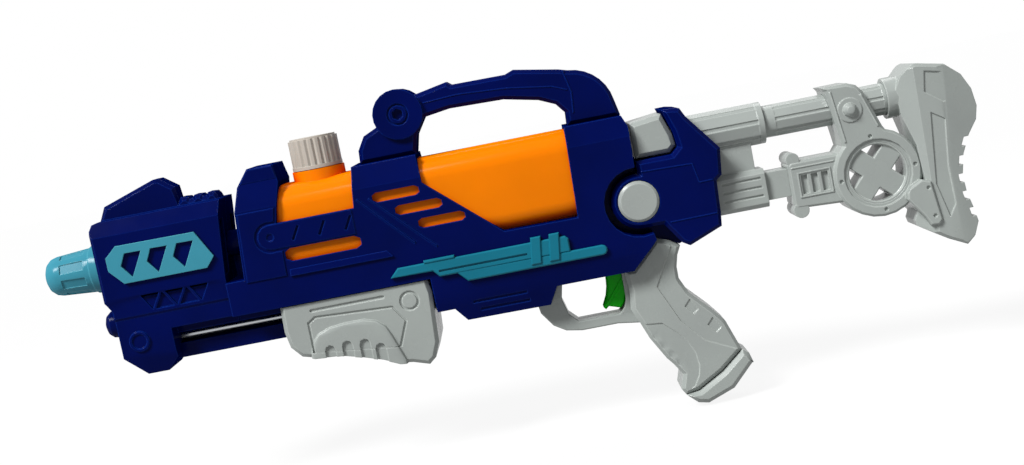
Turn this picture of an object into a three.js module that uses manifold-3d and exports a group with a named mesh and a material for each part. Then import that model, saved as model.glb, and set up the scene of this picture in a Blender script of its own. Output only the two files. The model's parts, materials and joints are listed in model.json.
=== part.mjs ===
// Toy pump water squirter: casing halves, tank, pump, trigger valve and shoulder stock.
// Millimetres. +X runs from the nozzle to the butt and +Z is up. The two sides face -Y and +Y.
// Pieces are drawn with the barrel axis at z = 0. The group then moves so that the palm of the
// pistol grip is the origin.
import * as THREE from "three";
import { mergeVertices } from "three/addons/utils/BufferGeometryUtils.js";
import Module from "manifold-3d";

const wasm = await Module();
wasm.setup();

// Fits and walls
const WALL = 2.2;
const SEAM = 0.3;
const FIT = 0.4;

// Tank and cap
const TANK_HALF = 27;
const TANK_FRONT = -157;
const TANK_LENGTH = 212;
const TANK_REAR = TANK_FRONT + TANK_LENGTH;
const TANK_TOP = 33;
const TANK_BOTTOM = -28;
const TANK_ROUND = 15;
const TANK_WALL = 1.8;
const NECK_X = TANK_FRONT + 35;
const NECK_RADIUS = 18;
const NECK_TOP = TANK_TOP + 6.5;
const SPOUT_RADIUS = 13.4;
const SPOUT_BORE = 11;
const CAP_RADIUS = 17;
const CAP_HEIGHT = 22;
const CAP_RIBS = 22;
const SEAL_THICK = 1.6;

// Pump
const ROD_Z = -57;
const ROD_RADIUS = 3.25;
const PLUNGER_RADIUS = 4.6;
const CYLINDER_BORE = 7.6;
const CYLINDER_RADIUS = CYLINDER_BORE + 1.4;
const CYLINDER_LENGTH = 84;
const PLUG_LENGTH = 10;
const PLUG_FRONT = TANK_REAR - 25.6;
const CYLINDER_REAR = PLUG_FRONT - FIT;
const CYLINDER_FRONT = CYLINDER_REAR - CYLINDER_LENGTH;
const PISTON_LENGTH = 8;
const INLET_Y = 8;
const INLET_X = PLUG_FRONT + 5;
const FLANGE_IN = 7;
const FLANGE_OUT = 10;
const FLANGE_BOTTOM = ROD_Z + ROD_RADIUS + 0.75;
const RAIL_HALF = 9.5;
const RAIL_TOP = ROD_Z - ROD_RADIUS - 0.25;
const RAIL_BOTTOM = RAIL_TOP - 10;

// Body casing
const BODY_HALF = TANK_HALF + FIT + WALL + 0.9;
const BODY_FRONT = TANK_FRONT - 22;
const BEAM_FRONT = BODY_FRONT - 16;
const BEAM_TOP = TANK_BOTTOM + 4;
const BEAM_BOTTOM = FLANGE_BOTTOM + 6;
const BODY_SHOULDER = TANK_TOP - 11.5;
const FOOT_TOP = TANK_TOP + 3.5;
const FOOT_FRONT = NECK_X + 25;
const FOOT_REAR = NECK_X + 69;
const HOUSING_FRONT = CYLINDER_FRONT - 4;
const HOUSING_BOTTOM = RAIL_BOTTOM - 10.5;
const GUARD_ROOF = RAIL_BOTTOM + 1.9;
const GROOVE = 0.9;

// Pump grip
const GRIP_LENGTH = 101;
const GRIP_FRONT = HOUSING_FRONT - 3 - GRIP_LENGTH;
const GRIP_HALF = 29;
const GRIP_TOP = BEAM_BOTTOM - 0.6;

// Muzzle shroud
const SHROUD_LENGTH = 88.5;
const SHROUD_REAR = BODY_FRONT - 12;
const SHROUD_FRONT = SHROUD_REAR - SHROUD_LENGTH;
const SHROUD_HALF = 27;
const SHROUD_TOP = 32.5;
const SHROUD_CHAMFER = 3;
const BLOCK_LENGTH = 40.5;
const BLOCK_REAR = SHROUD_FRONT + BLOCK_LENGTH;
const BLOCK_BOTTOM = RAIL_BOTTOM - 5.5;
const ROD_FRONT = BLOCK_REAR - 21;
const FIN_PEAK = SHROUD_TOP + 21.5;
const FIN_HALF = 10;
const PLATE_THICK = 2;
const KNOB_RADIUS = 10;
const KNOB_LENGTH = 13.2;
const KNOB_Z = ROD_Z + 17;

// Nozzle and barrel
const NOZZLE_LENGTH = 42.2;
const NOZZLE_RADIUS = 17.4;
const NOZZLE_TIP_RADIUS = 13.4;
const JET_RADIUS = 2.2;
const SPIGOT_RADIUS = 11.4;
const BARREL_RADIUS = 9;
const BARREL_REAR = BODY_FRONT + 4.5;
const HOSE_RADIUS = 3;

// Trigger and valve
const VALVE_Z = ROD_Z + 16;
const VALVE_FRONT = PLUG_FRONT + 5.6;
const VALVE_LENGTH = 15;
const VALVE_RADIUS = 5.5;
const STEM_RADIUS = 1.8;
const STEM_HEAD = 4;
const SPRING_GAUGE = 0.45;
const SPRING_SPAN = 8.2;
const PIN_X = VALVE_FRONT + VALVE_LENGTH + SPRING_SPAN + 7.8;
const PIN_Z = VALVE_Z - 17;
const PIN_RADIUS = 2;
const TRIGGER_HALF = 6.5;
const TRIGGER_DROP = 37;

// Pistol grip
const PALM_X = PIN_X + 46;
const PALM_Z = GUARD_ROOF - 46.4;
const HANDLE_HALF = 17;
const GUARD_HALF = 9;

// Carry handle
const CARRY_HALF = 13;
const KNUCKLE_RADIUS = 17;
const KNUCKLE_X = FOOT_REAR - 7;
const KNUCKLE_Z = FOOT_TOP + 28.5;
const KNUCKLE_HALF = 16;

// Stock
const HUB_X = PIN_X + 22;
const HUB_Z = -23;
const ARM_RADIUS = 18.4;
const CRESCENT_RADIUS = ARM_RADIUS + 5;
const TONGUE_HALF = 10.4;
const PIVOT_RADIUS = 4;
const MOUNT_HALF = 27;
const BUTTON_RADIUS = 13.9;
const BUTTON_PROUD = 1.6;
const BUTTON_THICK = 6;
const WELL_FLOOR = 18;
const TUBE_Z = HUB_Z + 34.5;
const TUBE_RADIUS = 11;
const SLEEVE_RADIUS = TUBE_RADIUS + 3.3;
const SOCKET_FRONT = HUB_X + 62;
const SLEEVE_REAR = HUB_X + 94;
const BAR_HALF = 9;
const BAR_TOP = HUB_Z + 1;
const BAR_BOTTOM = HUB_Z - 18;
const LOW_SLEEVE_REAR = HUB_X + 88;
const RING_X = HUB_X + 163;
const RING_Z = HUB_Z - 13;
const RING_RADIUS = 30;
const RING_BORE = RING_RADIUS - 9;
const RING_HALF = 16;
const PAD_HALF = 20;
const PAD_REAR = RING_X + 73;

const LOOKS = {
  navy: 0x0a1450,
  orange: 0xff8a08,
  teal: 0x3f9db4,
  grey: 0xa3aaa6,
  white: 0xcfc8be,
  green: 0x228c22,
  steel: 0xd0d4d8,
  rubber: 0x202022,
  clear: 0xdfe6e8,
};

const root = new THREE.Group();
root.name = "water_squirter";
root.position.set(-PALM_X, 0, -PALM_Z);

const deg = THREE.MathUtils.degToRad;

// A closed solid from a three.js geometry, turned to face out.
function solid(geometry) {
  geometry.deleteAttribute("normal");
  geometry.deleteAttribute("uv");
  const merged = mergeVertices(geometry, 1e-4);
  const index = merged.index.array;
  const kept = [];
  for (let i = 0; i < index.length; i += 3) {
    const [a, b, c] = [index[i], index[i + 1], index[i + 2]];
    if (a !== b && b !== c && c !== a) kept.push(a, b, c);
  }
  const positions = merged.attributes.position.array;
  const made = manifold(positions, kept);
  return made.volume() > 0 ? made : manifold(positions, kept.reverse());
}

function manifold(vertProperties, tris) {
  const triVerts = new Uint32Array(tris);
  return new wasm.Manifold(new wasm.Mesh({ numProp: 3, vertProperties, triVerts }));
}

function union(...bodies) {
  return bodies.reduce((a, b) => a.add(b));
}

function cut(body, ...tools) {
  return tools.reduce((a, b) => a.subtract(b), body);
}

// Adds a finished body to the part as one named mesh.
function piece(name, body, look) {
  const made = body.getMesh();
  const geometry = new THREE.BufferGeometry();
  geometry.setAttribute("position", new THREE.BufferAttribute(made.vertProperties, 3));
  geometry.setIndex(new THREE.BufferAttribute(made.triVerts, 1));
  geometry.computeVertexNormals();
  const mesh = new THREE.Mesh(geometry, new THREE.MeshStandardMaterial({ color: LOOKS[look] }));
  mesh.name = name;
  root.add(mesh);
}

function shapeOf(points) {
  return new THREE.Shape(points.map(([a, b]) => new THREE.Vector2(a, b)));
}

function extrude(points, depth, bevel, inset, segments) {
  const geometry = new THREE.ExtrudeGeometry(shapeOf(points), {
    depth: depth - 2 * bevel,
    bevelEnabled: bevel + Math.abs(inset) > 0,
    bevelThickness: bevel,
    bevelSize: bevel,
    bevelOffset: -bevel - inset,
    bevelSegments: segments,
  });
  return geometry.translate(0, 0, bevel - depth / 2);
}

// A side outline [x, z] pushed out across Y, centred on the middle plane.
function slab(outline, half, bevel = 0, inset = 0, segments = 1) {
  return solid(extrude(outline, 2 * half, bevel, inset, segments).rotateX(Math.PI / 2));
}

// A slab that lies from y0 to y1.
function plate(outline, y0, y1, bevel = 0, inset = 0) {
  const geometry = extrude(outline, y1 - y0, bevel, inset, 1).rotateX(Math.PI / 2);
  return solid(geometry.translate(0, (y0 + y1) / 2, 0));
}

// A cross section [y, z] run along X.
function bar(section, x0, x1, bevel = 0, inset = 0, segments = 1) {
  const turn = new THREE.Matrix4().makeBasis(
    new THREE.Vector3(0, 1, 0),
    new THREE.Vector3(0, 0, 1),
    new THREE.Vector3(1, 0, 0),
  );
  const geometry = extrude(section, x1 - x0, bevel, inset, segments).applyMatrix4(turn);
  return solid(geometry.translate((x0 + x1) / 2, 0, 0));
}

// A plan outline [x, y] run along Z.
function column(plan, z0, z1) {
  return solid(extrude(plan, z1 - z0, 0, 0, 1).translate(0, 0, (z0 + z1) / 2));
}

function box(x0, x1, y0, y1, z0, z1) {
  const geometry = new THREE.BoxGeometry(x1 - x0, y1 - y0, z1 - z0);
  return solid(geometry.translate((x0 + x1) / 2, (y0 + y1) / 2, (z0 + z1) / 2));
}

// Round bars along X, Y and Z.
function rodX(x0, x1, radius, y, z, sides = 24) {
  const geometry = new THREE.CylinderGeometry(radius, radius, x1 - x0, sides).rotateZ(Math.PI / 2);
  return solid(geometry.translate((x0 + x1) / 2, y, z));
}

function rodY(y0, y1, radius, x, z, sides = 24) {
  const geometry = new THREE.CylinderGeometry(radius, radius, y1 - y0, sides);
  return solid(geometry.translate(x, (y0 + y1) / 2, z));
}

function rodZ(z0, z1, radius, x, y, sides = 24) {
  const geometry = new THREE.CylinderGeometry(radius, radius, z1 - z0, sides).rotateX(Math.PI / 2);
  return solid(geometry.translate(x, y, (z0 + z1) / 2));
}

// A profile [x, radius] turned about an axis along X at height z. The profile closes on itself.
function turned(profile, z, sides = 32) {
  const points = [...profile, profile[0]].map(([x, r]) => new THREE.Vector2(r, x));
  return solid(new THREE.LatheGeometry(points, sides).rotateZ(-Math.PI / 2).translate(0, 0, z));
}

function arc(x, z, radius, from, to, steps) {
  return Array.from({ length: steps + 1 }, (_, i) => {
    const angle = deg(from + ((to - from) * i) / steps);
    return [x + radius * Math.cos(angle), z + radius * Math.sin(angle)];
  });
}

function rectangle(x0, x1, z0, z1) {
  return [[x0, z0], [x1, z0], [x1, z1], [x0, z1]];
}

// Outline points given from a station.
function moved(x, z, points) {
  return points.map(([dx, dz]) => [x + dx, z + dz]);
}

// A slot with round ends between two points at the same height.
function pill(x0, x1, z, radius, steps = 3) {
  return [...arc(x1, z, radius, -90, 90, steps), ...arc(x0, z, radius, 90, 270, steps)];
}

function mirrored(sectionHalf) {
  return [...sectionHalf, ...sectionHalf.map(([y, z]) => [-y, z]).reverse()];
}

// One side of a casing: side -1 is the left half, +1 the right half.
function halfOf(body, side) {
  const far = 400;
  const y0 = side < 0 ? -far : SEAM / 2;
  const y1 = side < 0 ? -SEAM / 2 : far;
  return body.intersect(box(-far, far, y0, y1, -far, far));
}

function bothSides(make) {
  return union(make(-1), make(1));
}

// A wire wound about the Y or X axis, with plain ends.
class Coil extends THREE.Curve {
  constructor(radius, length, turns) {
    super();
    Object.assign(this, { radius, length, turns });
  }
  getPoint(t, target = new THREE.Vector3()) {
    const angle = 2 * Math.PI * this.turns * t;
    return target.set(
      this.length * (t - 0.5),
      this.radius * Math.cos(angle),
      this.radius * Math.sin(angle),
    );
  }
}

function spring(name, radius, length, turns) {
  const run = length - 2 * SPRING_GAUGE;
  const gap = run / turns - 2 * SPRING_GAUGE;
  console.log(name + " least gap between turns " + gap.toFixed(2) + " mm");
  return new THREE.ExtrudeGeometry(shapeOf(arc(0, 0, SPRING_GAUGE, 0, 270, 3)), {
    steps: Math.round(turns * 10),
    bevelEnabled: false,
    extrudePath: new Coil(radius, run, turns),
  });
}

// Tank

function tankSection(grow) {
  const half = TANK_HALF + grow;
  const round = TANK_ROUND + grow;
  const top = TANK_TOP + grow - round;
  const bottom = TANK_BOTTOM - grow + round;
  return [
    ...arc(half - round, top, round, 0, 90, 4),
    ...arc(round - half, top, round, 90, 180, 4),
    ...arc(round - half, bottom, round, 180, 270, 4),
    ...arc(half - round, bottom, round, 270, 360, 4),
  ];
}

function tankHull(grow) {
  return bar(tankSection(grow), TANK_FRONT - grow, TANK_REAR + grow, 7, 0, 2);
}

function neckClear() {
  return rodZ(0, NECK_TOP + 9, NECK_RADIUS + 1, NECK_X, 0, 26);
}

function buildTank() {
  const spoutTop = NECK_TOP + CAP_HEIGHT - WALL - SEAL_THICK - 2 * FIT;
  const outer = union(
    tankHull(0),
    rodZ(0, NECK_TOP, NECK_RADIUS, NECK_X, 0, 26),
    rodZ(0, spoutTop, SPOUT_RADIUS, NECK_X, 0, 24),
  );
  const tank = cut(
    outer,
    tankHull(-TANK_WALL),
    rodZ(0, spoutTop + 1, SPOUT_BORE, NECK_X, 0, 24),
    rodZ(TANK_BOTTOM - 1, 0, 1.5, INLET_X, INLET_Y, 10),
  );
  piece("tank", tank, "orange");
  const seal = rodZ(spoutTop + FIT / 2, spoutTop + FIT / 2 + SEAL_THICK, SPOUT_RADIUS, NECK_X, 0, 20);
  piece("cap_seal", seal, "rubber");
}

function capOutline() {
  const points = [];
  const step = 360 / CAP_RIBS;
  for (let i = 0; i < CAP_RIBS; i += 1) {
    const at = i * step;
    points.push(arc(NECK_X, 0, CAP_RADIUS - 1.1, at, at, 1)[0]);
    points.push(arc(NECK_X, 0, CAP_RADIUS, at + step * 0.3, at, 1)[0]);
    points.push(arc(NECK_X, 0, CAP_RADIUS, at + step * 0.7, at, 1)[0]);
  }
  return points;
}

function buildCap() {
  const base = NECK_TOP + FIT;
  const top = NECK_TOP + CAP_HEIGHT;
  const lid = rodZ(top - 3, top, CAP_RADIUS - 1.2, NECK_X, 0, 24);
  const hem = rodZ(base, base + 2.4, CAP_RADIUS + 0.4, NECK_X, 0, 24);
  const body = union(column(capOutline(), base + 1, top - 1.2), lid, hem);
  const bore = rodZ(base - 1, top - WALL, SPOUT_RADIUS + FIT, NECK_X, 0, 24);
  piece("tank_cap", cut(body, bore), "white");
}

// Body shells

function bodySection() {
  const b = BODY_HALF;
  return mirrored([
    [b - 8, HOUSING_BOTTOM - 1],
    [b - 3.5, GUARD_ROOF],
    [b, ROD_Z + 1],
    [b, BODY_SHOULDER],
    [b - 6, FOOT_TOP],
    [b - 11, FOOT_TOP + 14],
  ]);
}

function bodyOutline() {
  const foot = TANK_REAR - 7;
  return [
    [BEAM_FRONT, BEAM_BOTTOM],
    [BEAM_FRONT, BEAM_TOP],
    [BODY_FRONT - 3, BEAM_TOP],
    [BODY_FRONT, BODY_SHOULDER],
    [BODY_FRONT + 4, FOOT_TOP + 1],
    [BODY_FRONT + 12, FOOT_TOP + 12],
    [NECK_X - 27, FOOT_TOP + 12],
    [NECK_X - 25, FOOT_TOP],
    [NECK_X - 31, TANK_TOP - 23.5],
    [FOOT_FRONT - 3, TANK_TOP - 23.5],
    [FOOT_FRONT, FOOT_TOP],
    [FOOT_REAR, FOOT_TOP],
    [FOOT_REAR + 1, TANK_TOP - 15.5],
    [FOOT_REAR + 49, TANK_BOTTOM + 3],
    [foot - 2, TANK_BOTTOM + 2.5],
    [foot, FOOT_TOP - 1],
    [HUB_X - 1, FOOT_TOP - 1],
    [HUB_X + 2, FOOT_TOP - 8.5],
    ...arc(HUB_X, HUB_Z, CRESCENT_RADIUS, 87, 285, 12),
    [HUB_X + 7, HUB_Z - CRESCENT_RADIUS - 4],
    [PIN_X + 10.5, GUARD_ROOF],
    [PLUG_FRONT - 5.9, GUARD_ROOF],
    [PLUG_FRONT - 12.4, HOUSING_BOTTOM],
    [CYLINDER_FRONT + 15, HOUSING_BOTTOM + 0.5],
    [CYLINDER_FRONT + 8, RAIL_BOTTOM - 0.5],
    [HOUSING_FRONT, RAIL_BOTTOM - 0.5],
    [HOUSING_FRONT, BEAM_BOTTOM],
  ];
}

function tongue(grow) {
  const block = rectangle(TANK_REAR + 1.2, HUB_X, HUB_Z - 12 - grow, HUB_Z + 12 + grow);
  return union(
    slab(block, TONGUE_HALF + grow),
    rodY(-TONGUE_HALF - grow, TONGUE_HALF + grow, ARM_RADIUS - 1.4 + grow, HUB_X, HUB_Z, 20),
  );
}

// Slots and windows through both sides of the body.
function bodyWindows() {
  const reach = BODY_HALF + 5;
  const slot = (dx, z) => slab(pill(FOOT_FRONT + dx + 3.3, FOOT_FRONT + dx + 29.5, z, 3.3), reach);
  return union(
    slab(pill(NECK_X - 25.6, NECK_X + 18.6, TANK_BOTTOM + 15, 4.4), reach),
    slot(10, TANK_TOP - 19.4),
    slot(23.4, TANK_TOP - 30.6),
    slot(37, TANK_TOP - 42),
  );
}

// Shallow grooves that follow the skin of the body.
function bodyMarks() {
  const stripe = (x, z, dx, dz) => {
    const size = Math.hypot(dx, dz);
    const [a, b] = [(-0.8 * dz) / size, (0.8 * dx) / size];
    return moved(x, z, [[-a, -b], [dx - a, dz - b], [dx + a, dz + b], [a, b]]);
  };
  const tick = (dx) => stripe(NECK_X + dx, TANK_TOP - 36.5, 5, 9);
  const low = CYLINDER_FRONT + 21;
  const lines = [
    stripe(FOOT_FRONT, TANK_TOP - 18, 33, -36),
    stripe(FOOT_FRONT + 8, TANK_TOP - 19, 39, -40),
    tick(-22),
    tick(-4),
    tick(14),
    rectangle(low, low + 37, RAIL_BOTTOM + 1.1, RAIL_BOTTOM + 3.1),
    rectangle(low + 4, low + 38, RAIL_BOTTOM - 4.9, RAIL_BOTTOM - 2.9),
  ];
  const deep = bar(bodySection(), BEAM_FRONT - 50, HUB_X + 50, 0, GROOVE);
  return cut(union(...lines.map((line) => slab(line, BODY_HALF + 2))), deep);
}

// Raised arm with a round end under the front window.
function bodyArm() {
  const [x, z] = [NECK_X - 37, TANK_TOP - 32];
  const points = [...arc(x, z, 8.3, 90, 270, 6), [NECK_X + 20, z - 8.3], [NECK_X + 20, z + 8.3]];
  const outer = BODY_HALF + 0.8;
  const inner = BODY_HALF - 1;
  const hub = (side) => rodY(...(side < 0 ? [-outer - 1, -inner] : [inner, outer + 1]), 2.6, x, z, 12);
  return bothSides((side) => {
    const arm = side < 0 ? plate(points, -outer, -inner) : plate(points, inner, outer);
    return cut(arm, hub(side));
  });
}

function flanges(x0, x1) {
  return bothSides((side) => {
    const [a, b] = side < 0 ? [-FLANGE_OUT, -FLANGE_IN] : [FLANGE_IN, FLANGE_OUT];
    return box(x0, x1, a, b, FLANGE_BOTTOM, BEAM_BOTTOM + 1);
  });
}

function railSection(grow) {
  return rectangle(-RAIL_HALF - grow, RAIL_HALF + grow, RAIL_BOTTOM - grow, RAIL_TOP + grow);
}

// Cradle ribs for the cylinder, valve and hose, and bosses for the trigger pin.
function bodyRibs() {
  const reach = BODY_HALF - 1;
  const rib = (x, z0, z1) => box(x - 1, x + 1, -reach, reach, z0, z1);
  const boss = (side) => {
    const [a, b] = side < 0 ? [-reach, -TRIGGER_HALF - 1] : [TRIGGER_HALF + 1, reach];
    return rodY(a, b, PIN_RADIUS + 2.5, PIN_X, PIN_Z, 12);
  };
  return union(
    rib(CYLINDER_FRONT + 25, RAIL_BOTTOM + 1, VALVE_Z - 5),
    rib(CYLINDER_REAR - 17, GUARD_ROOF + 1, VALVE_Z - 5),
    rib(VALVE_FRONT + VALVE_LENGTH - 4, VALVE_Z - 8, TANK_BOTTOM - 5),
    rib(NECK_X + 12, BEAM_BOTTOM + 1, TANK_BOTTOM - 5),
    bothSides(boss),
  );
}

function bodyCuts() {
  const slot = TRIGGER_HALF + 1;
  return union(
    tankHull(FIT),
    neckClear(),
    rodX(BODY_FRONT - 6, BARREL_REAR + 3, BARREL_RADIUS + FIT, 0, 0, 20),
    rodX(HOUSING_FRONT - 5, CYLINDER_FRONT + 1, PLUNGER_RADIUS + FIT, 0, ROD_Z, 16),
    rodX(CYLINDER_FRONT - FIT, CYLINDER_REAR + 1, CYLINDER_RADIUS + FIT, 0, ROD_Z, 20),
    bar(railSection(FIT), HOUSING_FRONT - 2, HOUSING_FRONT + 3.8),
    rodX(VALVE_FRONT - 1, VALVE_FRONT + VALVE_LENGTH + 1, VALVE_RADIUS + FIT, 0, VALVE_Z, 16),
    rodX(TANK_FRONT, VALVE_FRONT, HOSE_RADIUS + FIT, 0, VALVE_Z, 12),
    box(PIN_X - 20, PIN_X + 10, -slot, slot, GUARD_ROOF - 2, GUARD_ROOF + 4),
    rodY(-14, 14, PIN_RADIUS + 0.15, PIN_X, PIN_Z, 12),
    tenons(FIT),
  );
}

function buildBody() {
  const outline = bodyOutline();
  const section = bodySection();
  const outer = slab(outline, BODY_HALF + 1).intersect(bar(section, BEAM_FRONT - 50, HUB_X + 50));
  const inner = slab(outline, BODY_HALF + 1, 0, WALL).intersect(bar(section, BEAM_FRONT - 50, HUB_X + 50, 0, WALL));
  const shell = union(cut(outer, inner), bodyArm(), bodyRibs().intersect(outer), tongue(0));
  const body = cut(
    union(shell, flanges(BEAM_FRONT, HOUSING_FRONT + 1)),
    bodyCuts(),
    bodyWindows(),
    bodyMarks(),
    rodY(-14, 14, PIVOT_RADIUS + FIT / 2, HUB_X, HUB_Z, 16),
  );
  piece("body_shell_left", halfOf(body, -1), "navy");
  piece("body_shell_right", halfOf(body, 1), "navy");
}

// Muzzle shroud

function shroudOutline() {
  return [
    [SHROUD_FRONT, SHROUD_TOP - 5],
    [SHROUD_FRONT + 2, SHROUD_TOP - 1],
    [SHROUD_FRONT + 6, SHROUD_TOP],
    [SHROUD_REAR + 2, SHROUD_TOP],
    [SHROUD_REAR, SHROUD_TOP - 10.5],
    [BEAM_FRONT - FIT, BEAM_TOP],
    [BEAM_FRONT - FIT, BEAM_BOTTOM],
    [BLOCK_REAR, BEAM_BOTTOM],
    [BLOCK_REAR, BLOCK_BOTTOM + 9],
    [BLOCK_REAR - 9, BLOCK_BOTTOM],
    [SHROUD_FRONT + 17, BLOCK_BOTTOM],
    [SHROUD_FRONT + 4, BLOCK_BOTTOM + 14],
    [SHROUD_FRONT + 4, BEAM_TOP - 5],
    [SHROUD_FRONT, BEAM_TOP + 2],
  ];
}

function shroudSection() {
  const h = SHROUD_HALF;
  return mirrored([
    [h - 9, BLOCK_BOTTOM - 0.5],
    [h - 3, BLOCK_BOTTOM + 14],
    [h - 3, BEAM_TOP - 12],
    [h - 1.8, BEAM_TOP - 10],
    [h - 1.8, BEAM_TOP],
    [h, BEAM_TOP + 4],
    [h, SHROUD_TOP - 10],
    [h - 6, SHROUD_TOP + 1],
  ]);
}

function shroudPlan() {
  const h = SHROUD_HALF + 1;
  const c = SHROUD_CHAMFER;
  return [
    [SHROUD_FRONT - 1, c - h],
    [SHROUD_FRONT + c, -h],
    [SHROUD_REAR + 20, -h],
    [SHROUD_REAR + 20, h],
    [SHROUD_FRONT + c, h],
    [SHROUD_FRONT - 1, h - c],
  ];
}

function fin() {
  const low = -3;
  const ridge = (dx) => [[dx, 3.5], [dx + 1.5, 5.5], [dx + 6, 5.1], [dx + 7.5, 3.3]];
  const rise = FIN_PEAK - SHROUD_TOP;
  const rear = moved(SHROUD_REAR, SHROUD_TOP, [
    [-29, rise - 8],
    ...ridge(-28),
    ...ridge(-18.5),
    ...ridge(-9),
    [1, low],
  ]);
  const front = moved(SHROUD_FRONT, SHROUD_TOP, [
    [3, low],
    [9, 9],
    [SHROUD_LENGTH - 43, rise - 0.6],
    [SHROUD_LENGTH - 39, rise - 0.6],
  ]);
  return slab([...front, ...rear], FIN_HALF, 2.5);
}

// Row of sunk triangles along the waist of the shroud.
function waistPanel(side) {
  const deep = SHROUD_HALF - 3.4;
  const tooth = (dx, dz) => moved(SHROUD_FRONT + dx, BEAM_TOP, [[0, dz], [6.5, -5 - dz], [13, dz]]);
  const teeth = [[25, 3], [33.5, -8], [42, 3], [50.5, -8], [59, 3]].map(([dx, dz]) => tooth(dx, dz));
  return union(...teeth.map((line) => (side < 0 ? plate(line, -40, -deep) : plate(line, deep, 40))));
}

function bossPlace() {
  return [SHROUD_FRONT + 17.5, BLOCK_BOTTOM + 24];
}

function bossRing(side) {
  const [a, b] = side < 0 ? [-40, -SHROUD_HALF + 2.6] : [SHROUD_HALF - 2.6, 40];
  return rodY(a, b, 5.2, ...bossPlace(), 16);
}

// Inner walls that carry the rod, the rail and the knob.
function shroudBosses() {
  const wide = SHROUD_HALF - 1;
  return union(
    rodX(ROD_FRONT - 2, BLOCK_REAR - 1, ROD_RADIUS + 2.5, 0, ROD_Z, 12),
    box(BLOCK_REAR - 9, BLOCK_REAR - 1, -wide, wide, BLOCK_BOTTOM + 1, BEAM_BOTTOM + 1),
    rodX(SHROUD_FRONT + 3, SHROUD_FRONT + 16, 7, 0, KNOB_Z, 12),
    box(SHROUD_FRONT + 5, SHROUD_FRONT + 20, -wide, wide, BLOCK_BOTTOM + 22, BLOCK_BOTTOM + 26),
    box(SHROUD_FRONT + 16, BLOCK_REAR, -wide, wide, BEAM_TOP + 3, BEAM_TOP + 5),
  );
}

// Opening in the rear wall beside the barrel.
function rearWindow(side) {
  const [a, b] = [BARREL_RADIUS + 2.5, SHROUD_HALF - 4];
  const [y0, y1] = side < 0 ? [-b, -a] : [a, b];
  return box(SHROUD_REAR - 8, SHROUD_REAR + 5, y0, y1, BEAM_TOP + 6, SHROUD_TOP - 13);
}

function buildShroud() {
  const outline = shroudOutline();
  const [x0, x1] = [SHROUD_FRONT - 10, SHROUD_REAR + 40];
  const plan = column(shroudPlan(), BLOCK_BOTTOM - 20, FIN_PEAK + 20);
  const outer = slab(outline, SHROUD_HALF + 1).intersect(bar(shroudSection(), x0, x1)).intersect(plan);
  const inner = slab(outline, SHROUD_HALF - WALL, 0, WALL).intersect(bar(shroudSection(), x0, x1, 0, WALL));
  const boss = bothSides((side) => {
    const [a, b] = side < 0 ? [-SHROUD_HALF + 1.6, -10] : [10, SHROUD_HALF - 1.6];
    return rodY(a, b, 7, ...bossPlace(), 16);
  });
  const shell = union(cut(outer, inner), shroudBosses().intersect(outer), boss);
  const body = cut(
    union(shell, fin()),
    bothSides(waistPanel),
    rodX(SHROUD_FRONT - 1, SHROUD_FRONT + 6, SPIGOT_RADIUS + 0.3, 0, 0, 20),
    rodX(SHROUD_REAR - 12, SHROUD_REAR + 5, BARREL_RADIUS + FIT, 0, 0, 20),
    rodX(ROD_FRONT - 1, BLOCK_REAR + 1, ROD_RADIUS + 0.3, 0, ROD_Z, 12),
    bar(railSection(FIT), BLOCK_REAR - 6, BLOCK_REAR + 1),
    rodX(SHROUD_FRONT - 1, SHROUD_FRONT + 15, 4.3, 0, KNOB_Z, 12),
    bothSides(bossRing),
    bothSides(rearWindow),
  );
  const whole = union(body, flanges(BLOCK_REAR - 1, BEAM_FRONT - FIT));
  piece("muzzle_shroud_left", halfOf(whole, -1), "navy");
  piece("muzzle_shroud_right", halfOf(whole, 1), "navy");
}

function buildKnob() {
  const face = SHROUD_FRONT + 4 - FIT;
  const tip = face - KNOB_LENGTH;
  const profile = [
    [face + 10, 0],
    [face + 10, 4],
    [face, 4],
    [face, KNOB_RADIUS - 0.6],
    [face - 3, KNOB_RADIUS],
    [tip + 4.5, KNOB_RADIUS - 0.8],
    [tip + 1.6, KNOB_RADIUS - 3.2],
    [tip + 0.3, KNOB_RADIUS - 6.5],
    [tip, 0],
  ];
  piece("front_knob", turned(profile, KNOB_Z, 20), "navy");
}

function platePoints() {
  return moved(SHROUD_FRONT + 8.5, 0, [[0, 8], [8, 15], [62, 14.5], [72, -4], [66, -11], [9, -11], [0, -1]]);
}

function buildPlates() {
  const hole = (dx) => moved(SHROUD_FRONT + dx, 0, [[0, 1], [4, 9.2], [15.5, 9], [6.5, -7.6]]);
  const back = SHROUD_HALF + 0.2;
  const front = back + PLATE_THICK;
  const holes = (y0, y1) => union(...[17.5, 35.5, 53.5].map((dx) => plate(hole(dx), y0, y1)));
  const left = cut(plate(platePoints(), -front, -back), holes(-front - 1, -back + 1));
  const right = cut(plate(platePoints(), back, front), holes(back - 1, front + 1));
  piece("accent_plate_left", left, "teal");
  piece("accent_plate_right", right, "teal");
}

// Nozzle and barrel

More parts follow.
